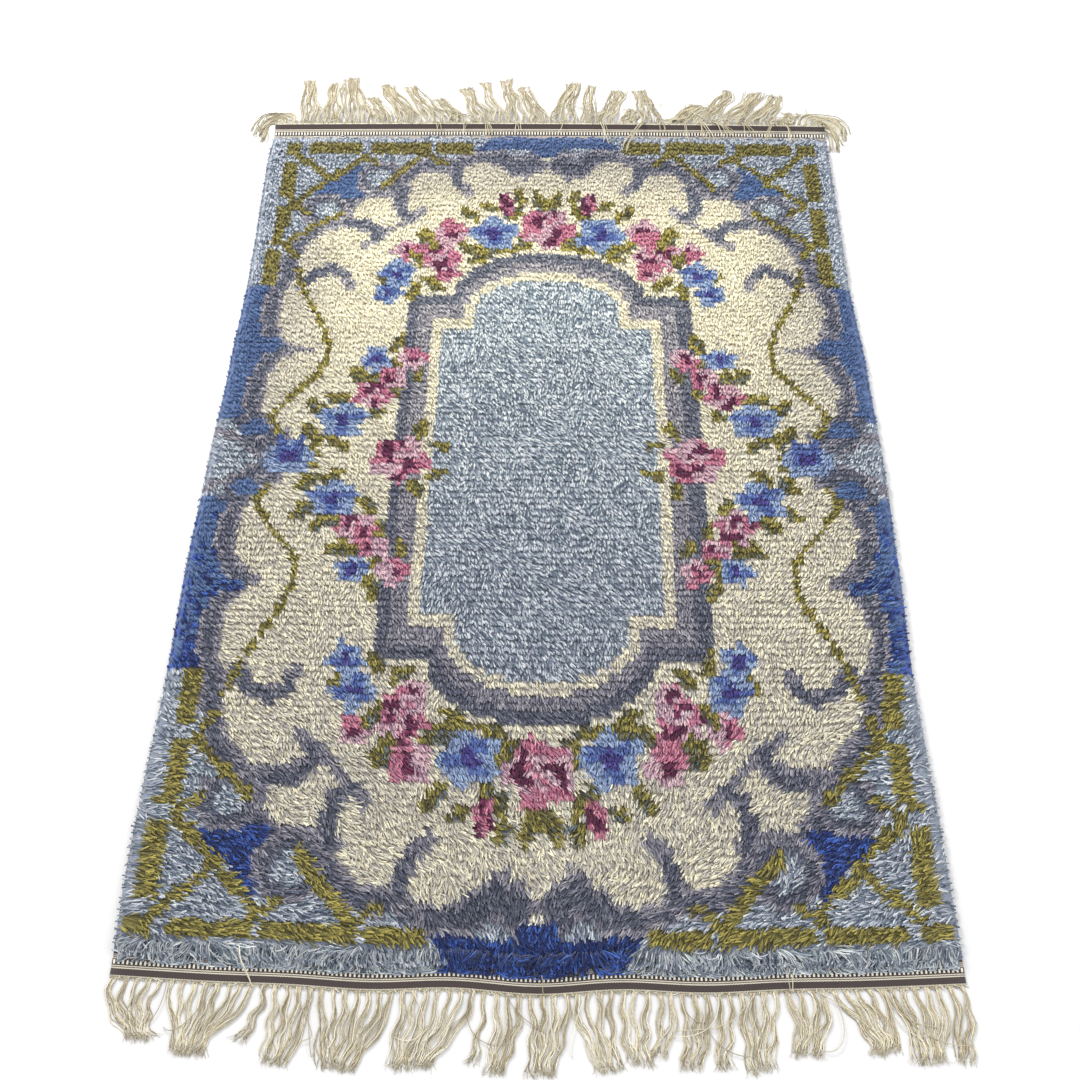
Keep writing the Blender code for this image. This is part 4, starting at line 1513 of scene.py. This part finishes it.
def tube_uvs(n, m, columns, lots):
    """The chart place of each corner of the tubes' faces."""
    left, base = np.meshgrid(np.arange(TUBE_SIDES) / TUBE_SIDES, np.arange(m - 1) / (m - 1))
    right, top = left + 1 / TUBE_SIDES, base + 1 / (m - 1)
    low = np.stack((left, base, right, base, right, top), axis=-1).reshape(-1, 3, 2)
    high = np.stack((left, base, right, top, left, top), axis=-1).reshape(-1, 3, 2)
    caps = np.array([[(0, v), (1, v), (0.5, v + 0.02)] for v in (0.0, 0.98)])
    one = np.concatenate((low, high, caps))
    uv = np.broadcast_to(one, (n, *one.shape)).copy()
    into_columns(uv, columns, lots)
    return uv.reshape(-1, 2)


# %% Threads of a fringe
THREADS = 11
THREAD_SEED = 17
THREAD_POINTS = 12
THREAD_RADIUS = 0.00074
THREAD_END = 0.97
RIBBON_HALF = 0.0048
RIBBON_NECK = 0.50
NECK_UNTIL = 0.30
RIBBON_SPLAY = 0.75
RIBBON_TURNS = 0.45
THREAD_FLOOR = 0.0007
ROOT_PINCH = 0.45
PINCHED_AT = 0.10
SLOW_WAVE, FAST_WAVE, OWN_SHARE = 0.0014, 0.0005, 0.8
BUNCH_WAVES, OWN_WAVES, KINK_WAVES = (1.2, 2.6), (0.8, 2.4), (5, 8)
ROW_SHARE, TWIST_SHARE = 0.65, 0.45
STACK = 0.0009
ROOT_TUCK = 0.001
HAIRS = 2
HAIR_POINTS = 3
HAIR_RADIUS = 0.00032
HAIR_LENGTH = (0.004, 0.010)
HAIR_SPREAD = 0.45
HAIR_FROM, HAIR_DROP, HAIR_FLOOR, HAIR_THIN = -0.15, 0.2, 0.0005, 0.5
THREAD_THICKNESS = (0.85, 1.2)
LINEN = ((222, 212, 188), (198, 186, 158), (236, 228, 206),
         (168, 154, 126), (212, 202, 176), (188, 176, 148))
# The near fringe's linen gets a little painted light, the far fringe's linen painted shade, also a little
# warmer
NEAR_PAINTED_LIGHT, FAR_PAINTED_SHADE = (1.03, 1.03, 1.03), (0.91, 0.905, 0.87)


def linen_material(name, shade):
    lots = [dye(*(channel * s for channel, s in zip(color, shade))) for color in LINEN]
    return yarn_material(name, lots, LINEN_YARN)


near_linen_painted_light = linen_material("linen_near_painted_light", NEAR_PAINTED_LIGHT)
far_linen_painted_shade = linen_material("linen_far_painted_shade", FAR_PAINTED_SHADE)
Threads = namedtuple("Threads", "paths radii")


def bezier_paths(routes, t):
    """The routes' curves (n, m, 3) and the directions across them."""
    a, b, c, d = (np.array([route[k] for route in routes])[:, None] for k in range(4))
    s, t = 1 - t[None, :, None], t[None, :, None]
    path = s ** 3 * a + 3 * s * s * t * b + 3 * s * t * t * c + t ** 3 * d
    ahead = 3 * s * s * (b - a) + 6 * s * t * (c - b) + 3 * t * t * (d - c)
    ahead[..., 2] = 0
    ahead /= np.linalg.norm(ahead, axis=2, keepdims=True) + 1e-9
    return path, np.stack((-ahead[..., 1], ahead[..., 0], np.zeros(ahead.shape[:2])), axis=-1)


def waves(how_many, t, n, dice):
    """A sine along each of n threads, with its own number of waves and its own start."""
    count = dice.uniform(*how_many, (n, 1))
    return np.sin(2 * pi * count * t + dice.uniform(0, 6, (n, 1)))


def thread_paths(routes, end, lift, wander, spread, dice):
    """Every thread of a fringe (n, m, 3): gathered at the hem, side by side in its bundle, wavy."""
    t = np.linspace(0, THREAD_END, THREAD_POINTS)
    middle, sideways = bezier_paths(routes, t)
    n = len(routes)
    slow = dice.uniform(*BUNCH_WAVES, (n, 1)), dice.uniform(0, 2 * pi, (n, 1))
    phase = dice.uniform(0, 2 * pi, (n, 1))
    paths = []
    for k in range(THREADS):
        place_in_row = 2 * (k + 0.5) / THREADS - 1
        turn = phase + pi * k / THREADS * 2 + 2 * pi * RIBBON_TURNS * t
        splay = mix(RIBBON_NECK, 1 + RIBBON_SPLAY * t ** 2, smooth(t / NECK_UNTIL))
        ribbon = spread * RIBBON_HALF * splay
        own = ribbon * (ROW_SHARE * place_in_row + TWIST_SHARE * np.cos(turn))
        bunch_sway = wander * SLOW_WAVE * np.sin(2 * pi * slow[0] * t + slow[1])
        own_sway = wander * SLOW_WAVE * OWN_SHARE * t * waves(OWN_WAVES, t, n, dice)
        kinks = FAST_WAVE * waves(KINK_WAVES, t, n, dice)
        bunched = smooth(t / PINCHED_AT)
        hem_offset = place_in_row * ROOT_PINCH * WIDTH / BUNDLES / 2
        aside = hem_offset * (1 - bunched) + (own + bunch_sway + own_sway + kinks) * bunched
        settle = (lift + 0.5 * CLOTH_THICK - THREAD_FLOOR) * (1 - smooth(t / SETTLED_AT))
        stacked = STACK * (1 + np.sin(turn)) * bunched
        path = middle + sideways * aside[..., None]
        path[..., 2] = THREAD_FLOOR + settle + stacked
        path[:, 0, 1] -= end * (GAP + STRIP_DEPTH + ROOT_TUCK)
        paths.append(path)
    return np.concatenate(paths)


def with_hairs(paths, dice):
    """The threads, and the fine hairs that go on from each thread's end."""
    tip, heading = paths[:, -1], paths[:, -1] - paths[:, -2]
    heading[:, 2] = 0
    heading /= np.linalg.norm(heading, axis=1)[:, None] + 1e-9
    side = np.stack((-heading[:, 1], heading[:, 0], np.zeros(len(heading))), axis=-1)
    hairs = []
    for _ in range(HAIRS):
        length = dice.uniform(*HAIR_LENGTH, len(tip))[:, None, None]
        spread = dice.normal(0, HAIR_SPREAD, len(tip))[:, None, None]
        t = np.linspace(HAIR_FROM, 1, HAIR_POINTS)[None, :, None]
        hair = tip[:, None] + heading[:, None] * length * t + side[:, None] * length * spread * t
        hair[..., 2] = np.maximum(tip[:, None, 2] * (1 - HAIR_DROP * t[..., 0]), HAIR_FLOOR)
        hairs.append(hair)
    hairs = np.concatenate(hairs)
    thick = THREAD_RADIUS * dice.uniform(*THREAD_THICKNESS, len(paths))[:, None] * np.ones(paths.shape[1])
    fine = HAIR_RADIUS * np.linspace(1.0, HAIR_THIN, HAIR_POINTS)[None] * np.ones((len(hairs), 1))
    return [Threads(paths, thick), Threads(hairs, fine)]


def thread_piece(name, groups, linen, dice):
    """One mesh of several groups of threads."""
    points, faces, uvs, count = [], [], [], 0
    for group in groups:
        group_points, group_faces = tubes(group.paths, group.radii)
        columns = dice.integers(0, len(LINEN), len(group.paths))
        points.append(group_points)
        faces.append(group_faces + count)
        uvs.append(tube_uvs(*group.paths.shape[:2], columns, len(LINEN)))
        count += len(group_points)
    piece = joined_mesh(name, np.concatenate(points), np.concatenate(faces), np.concatenate(uvs), linen)
    print(f"{name}: {face_triangles(piece)} triangles")
    return piece


# %% [markdown]
# ### Bundles that fell back over the band
# At the curled far end some bundles have tipped over and lie across the band, their ends in the
# pile. Each follows one curve: up from the hem, over the band and down onto the wool. At the near
# end only a few single threads have strayed onto the band.

# %% Fallen and stray threads
Fallen = namedtuple("Fallen", "end across drift_mm reach_mm rise_mm threads splay_mm")
FALLEN = (
    Fallen(1, -0.405, 4, 40, 5, 3, 4),
    Fallen(1, -0.300, -3, 34, 4, 2, 3),
    Fallen(1, -0.225, 5, 46, 6, 5, 7),
    Fallen(1, -0.118, 8, 40, 5, 3, 8),
    Fallen(1, 0.060, -14, 52, 4, 1, 2),
    Fallen(1, 0.192, 12, 74, 6, 3, 4),
    Fallen(1, 0.352, -44, 92, 8, 5, 6),
    Fallen(1, 0.412, 2, 34, 5, 3, 8),
    Fallen(1, 0.490, 4, 66, 6, 2, 4),
    Fallen(1, 0.548, 14, 60, 8, 6, 9),
    Fallen(1, 0.600, 26, 46, 8, 5, 14),
    Fallen(1, 0.700, 18, 40, 6, 3, 12),
    Fallen(1, 0.820, -22, 56, 8, 5, 5),
    Fallen(1, 0.860, 6, 66, 6, 3, 8),
    Fallen(-1, -0.660, -22, 44, 2, 2, 3),
    Fallen(-1, 0.586, 6, 30, 2, 2, 5),
    Fallen(-1, 0.020, -5, 22, 2, 1, 2),
)
FALLEN_POINTS = 10
FALLEN_SWAY, FALLEN_WAVES = 0.0012, 1.3
FALLEN_REACH = (0.82, 1.05)
FALLEN_ROOTS = 0.0016
SPLAY_SPREAD = 0.35
COMES_DOWN_ACROSS, COMES_DOWN_ALONG = 0.9, 0.62
DEEP_FROM = 1.2
SHALLOW_LIFT, SHALLOW_RISE = 0.3, 0.012
LEAST_CURL = 0.010
PILE_REST = 0.0225


def fallen_paths(item, dice):
    """Threads from the hem back over the band; high enough to lie on band and pile."""
    hem = place(item.across, item.end)
    curled = float(far_lift(item.end))
    inward = -item.end * MM * item.reach_mm
    deep = item.reach_mm * MM > DEEP_FROM * BAND
    tip_height = PILE_REST if deep else curled * SHALLOW_LIFT + CLOTH_THICK + SHALLOW_RISE
    paths = []
    for k in range(item.threads):
        share = 2 * (k + 0.5) / item.threads - 1
        aside = MM * (item.drift_mm + item.splay_mm * (share + dice.normal(0, SPLAY_SPREAD)))
        reach = inward * dice.uniform(*FALLEN_REACH)
        root = hem + (FALLEN_ROOTS * share, item.end * 0.002, curled + 0.6 * CLOTH_THICK)
        over = root + (0.1 * aside, item.end * 0.006, CLOTH_THICK + MM * item.rise_mm)
        down = root + (COMES_DOWN_ACROSS * aside, COMES_DOWN_ALONG * reach, 0)
        down[2] = max(curled, LEAST_CURL) + CLOTH_THICK + MM * item.rise_mm
        tip = root + (aside, reach, 0)
        tip[2] = tip_height
        paths.append((root, over, down, tip))
    middle, sideways = bezier_paths(paths, np.linspace(0, 1, FALLEN_POINTS))
    along = np.linspace(0, 2 * pi, FALLEN_POINTS)[None]
    sway = FALLEN_SWAY * np.sin(along * FALLEN_WAVES + dice.uniform(0, 6, (len(paths), 1)))
    return middle + sideways * sway[..., None]


def fallen_groups(end, dice):
    paths = np.concatenate([fallen_paths(item, dice) for item in FALLEN if item.end == end])
    return [Threads(paths, np.full(paths.shape[:2], THREAD_RADIUS))]


# %% Loose threads, and the frayed hem
LOOSE_THREADS = {-1: 26, 1: 60}
LOOSE_POINTS = 12
LOOSE_REACH = (0.030, 0.085)
LOOSE_DRIFT = 0.030
LOOSE_SPAN = 0.88
LOOSE_BEND, LOOSE_TURN, LOOSE_SWING = (0.5, 1.2), (0.6, 1.3), 1.4
LOOSE_FLOOR, LOOSE_ARCH, LOOSE_THIN = 0.0022, 0.0014, 0.85
FRAYS = 600
FRAY_RADIUS = 0.0007
FRAY_REACH = (0.001, 0.0045)
FRAY_ASIDE = 0.003
FRAY_HEIGHT = (0.35, 0.95)
FRAY_DROP = 0.0004
FRAY_STEPS = ((-0.5, -0.3), (0.4, 0.8), (1.0, 1.0))


def loose_group(end, lift, dice):
    """Single threads that wander across the bundles."""
    routes = []
    for across in dice.uniform(-LOOSE_SPAN, LOOSE_SPAN, LOOSE_THREADS[end]):
        start = place(across, end) + (0, end * 0.002, 0)
        reach = end * dice.uniform(*LOOSE_REACH)
        first, second = dice.normal(0, LOOSE_DRIFT, 2)
        bend = start + (first, reach * dice.uniform(*LOOSE_BEND), 0)
        turn = start + (first + second, reach * dice.uniform(*LOOSE_TURN), 0)
        tip = start + (first + LOOSE_SWING * second, reach, 0)
        routes.append((start, bend, turn, tip))
    t = np.linspace(0, 1, LOOSE_POINTS)
    paths = bezier_paths(routes, t)[0]
    settle = (lift + 0.5 * CLOTH_THICK) * (1 - smooth(t / SETTLED_AT))
    paths[..., 2] = LOOSE_FLOOR + settle + LOOSE_ARCH * np.sin(pi * t)
    return Threads(paths, np.full(paths.shape[:2], LOOSE_THIN * THREAD_RADIUS))


def fray_group(end, lift, dice):
    """Short broken ends of weft and warp that stand out all along the hem."""
    hem = place(dice.uniform(-1, 1, FRAYS), np.full(FRAYS, float(end)))
    hem[:, 2] = lift + dice.uniform(*FRAY_HEIGHT, FRAYS) * CLOTH_THICK
    reach = end * dice.uniform(*FRAY_REACH, FRAYS)
    aside = dice.normal(0, FRAY_ASIDE, FRAYS)
    steps = [(aside * t, reach * bow, -FRAY_DROP * t * np.ones(FRAYS)) for t, bow in FRAY_STEPS]
    paths = np.stack([hem + np.stack(step, axis=-1) for step in steps], axis=1)
    return Threads(paths, np.full(paths.shape[:2], FRAY_RADIUS))


def build_fringe(name, routes, end, lift, linen, wander, spread):
    dice = np.random.default_rng(THREAD_SEED + end)
    groups = with_hairs(thread_paths(routes, end, lift, wander, spread, dice), dice)
    groups += fallen_groups(end, dice) + [loose_group(end, lift, dice), fray_group(end, lift, dice)]
    return thread_piece(name, groups, linen, dice)


fringes = [
    build_fringe("fringe_near_threads", near_routes, -1, 0.0, near_linen_painted_light, wander=1.7, spread=1.0),
    build_fringe("fringe_far_threads", far_routes, 1, FAR_LIFT, far_linen_painted_shade, wander=1.8, spread=1.4),
]

# %% [markdown]
# ## Long ends at the near rim
# The last rows of knots have nothing to lie on, and nobody walks there, so their ends are long,
# fine and curly and hang over the pinstripes of the band. A straight prism would look wrong here.
# We already have a tool for curved things, the tubes, so the rim's wool is drawn with them. The
# pile behind turns in from both sides, but these ends fan out over the edge, each the other way
# from the lay, and turn a little more at every step.

# %% Curly ends
LOCK_ROWS = 2
LOCKS_PER_KNOT = 9
LOCK_SEED = 12
LOCK_POINTS = 5
LOCK_LENGTH = (0.018, 0.030)
LOCK_RADII = (0.0011, 0.0011, 0.0010, 0.0009, 0.0007)
LOCK_CURL = 0.35
LOCK_OVERHANG = 0.0120
LOCK_SPREAD = 0.18
LOCK_FAN = 0.35
LOCK_SWIRL = 0.7
LOCK_JITTER = 0.0022
OVERHANG_SHARE = (0.7, 1.15)
RIM_STEP_FROM, RIM_STEP_OVER = -0.005, 0.014
LOCK_ON_BAND, LOCK_IN_PILE = 0.0015, 0.0005
RIM_LEAST = 10
LOCK_ROOT_SINK = 0.0025
LOCK_ARCH = 0.0012
LOCK_CURL_SIZE, LOCK_CURL_TURN, LOCK_CURL_SEED = 0.04, 2.0, 31.0
# The long ends at the rim sit in shadow, so they get extra painted light
LOCK_PAINTED_LIGHT = {"ice": 0.09, "royal": 0.24}
lock_dice = np.random.default_rng(LOCK_SEED)
lock_curl = noise_field(flat_at, LOCK_CURL_SIZE, LOCK_CURL_SEED) * LOCK_CURL_TURN
pile_end = place(knot_across, -PILE_ALONG)[:, 1]


def lock_paths(owner):
    """Curved paths from the last knots outwards, resting on the pile and then on the band."""
    n = len(owner)
    turn = LOCK_SWIRL * rim_swirl[owner] - LOCK_FAN * swirl[owner] + lock_dice.normal(0, LOCK_SPREAD, n)
    curl = lock_curl[owner] + lock_dice.normal(0, LOCK_CURL, n)
    step = lock_dice.uniform(*LOCK_LENGTH, n) / (LOCK_POINTS - 1)
    start = knot_at[owner] + lock_dice.normal(0, LOCK_JITTER, (n, 3))
    share = np.linspace(0, 1, LOCK_POINTS)
    angle = turn[:, None] + curl[:, None] * share
    x = np.clip(start[:, :1] + np.cumsum(np.sin(angle), axis=1) * step[:, None], -HALF_W, HALF_W)
    inside = (start[:, 1] - pile_end[owner])[:, None] - np.cumsum(np.cos(angle), axis=1) * step[:, None]
    inside = np.maximum(inside, -LOCK_OVERHANG * lock_dice.uniform(*OVERHANG_SHARE, n)[:, None])
    on_pile = smooth((inside - RIM_STEP_FROM) / RIM_STEP_OVER)
    rest = mix(CLOTH_THICK + LOCK_ON_BAND, knot_top[owner][:, None] - LOCK_IN_PILE, on_pile)
    z = rest + LOCK_ARCH * np.sin(pi * share) - LOCK_ROOT_SINK * (1 - share) ** 3
    return np.stack((x, inside + pile_end[owner][:, None], z), axis=-1)


def build_locks(family):
    rim_knots = np.flatnonzero(np.isin(chart[:LOCK_ROWS].ravel(), family.yarns))
    owner = np.repeat(rim_knots, LOCKS_PER_KNOT)
    lots = len(dyes_in_painted_light(family))
    points, faces = tubes(lock_paths(owner), np.broadcast_to(LOCK_RADII, (len(owner), LOCK_POINTS)))
    columns = strand_columns(owner, family, LOCK_PAINTED_LIGHT[family.name])
    uvs = tube_uvs(len(owner), LOCK_POINTS, columns, lots)
    piece = joined_mesh(f"rim_{family.name}", points, faces, uvs, wool_materials[family.name])
    print(f"rim_{family.name}: {len(owner)} ends, {len(faces)} triangles")
    return piece


rim_families = [f for f in FAMILIES if np.isin(chart[:LOCK_ROWS], f.yarns).sum() > RIM_LEAST]
rim_wool = [build_locks(family) for family in rim_families]

# %% [markdown]
# ## Handing over
# Last, every piece says what it belongs to. All ride on the one body, since a rug has no joints.
# The solids that stood in for cloth, pile and fringes are hidden behind the pieces that replace them.

for piece in (cloth, *floats):
    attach(piece, "root")
for piece in (bed, *wool, *rim_wool):
    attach(piece, "root")
for piece in fringes:
    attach(piece, "root")
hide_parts("ground_cloth")
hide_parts("pile")
for piece in (*wool, *rim_wool):
    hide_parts("pile")
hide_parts("fringe_near")
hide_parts("fringe_far")

# %% Count the triangles
total = sum(face_triangles(piece) for piece in (cloth, bed, *floats, *wool, *rim_wool, *fringes))
print("triangles in all:", total)
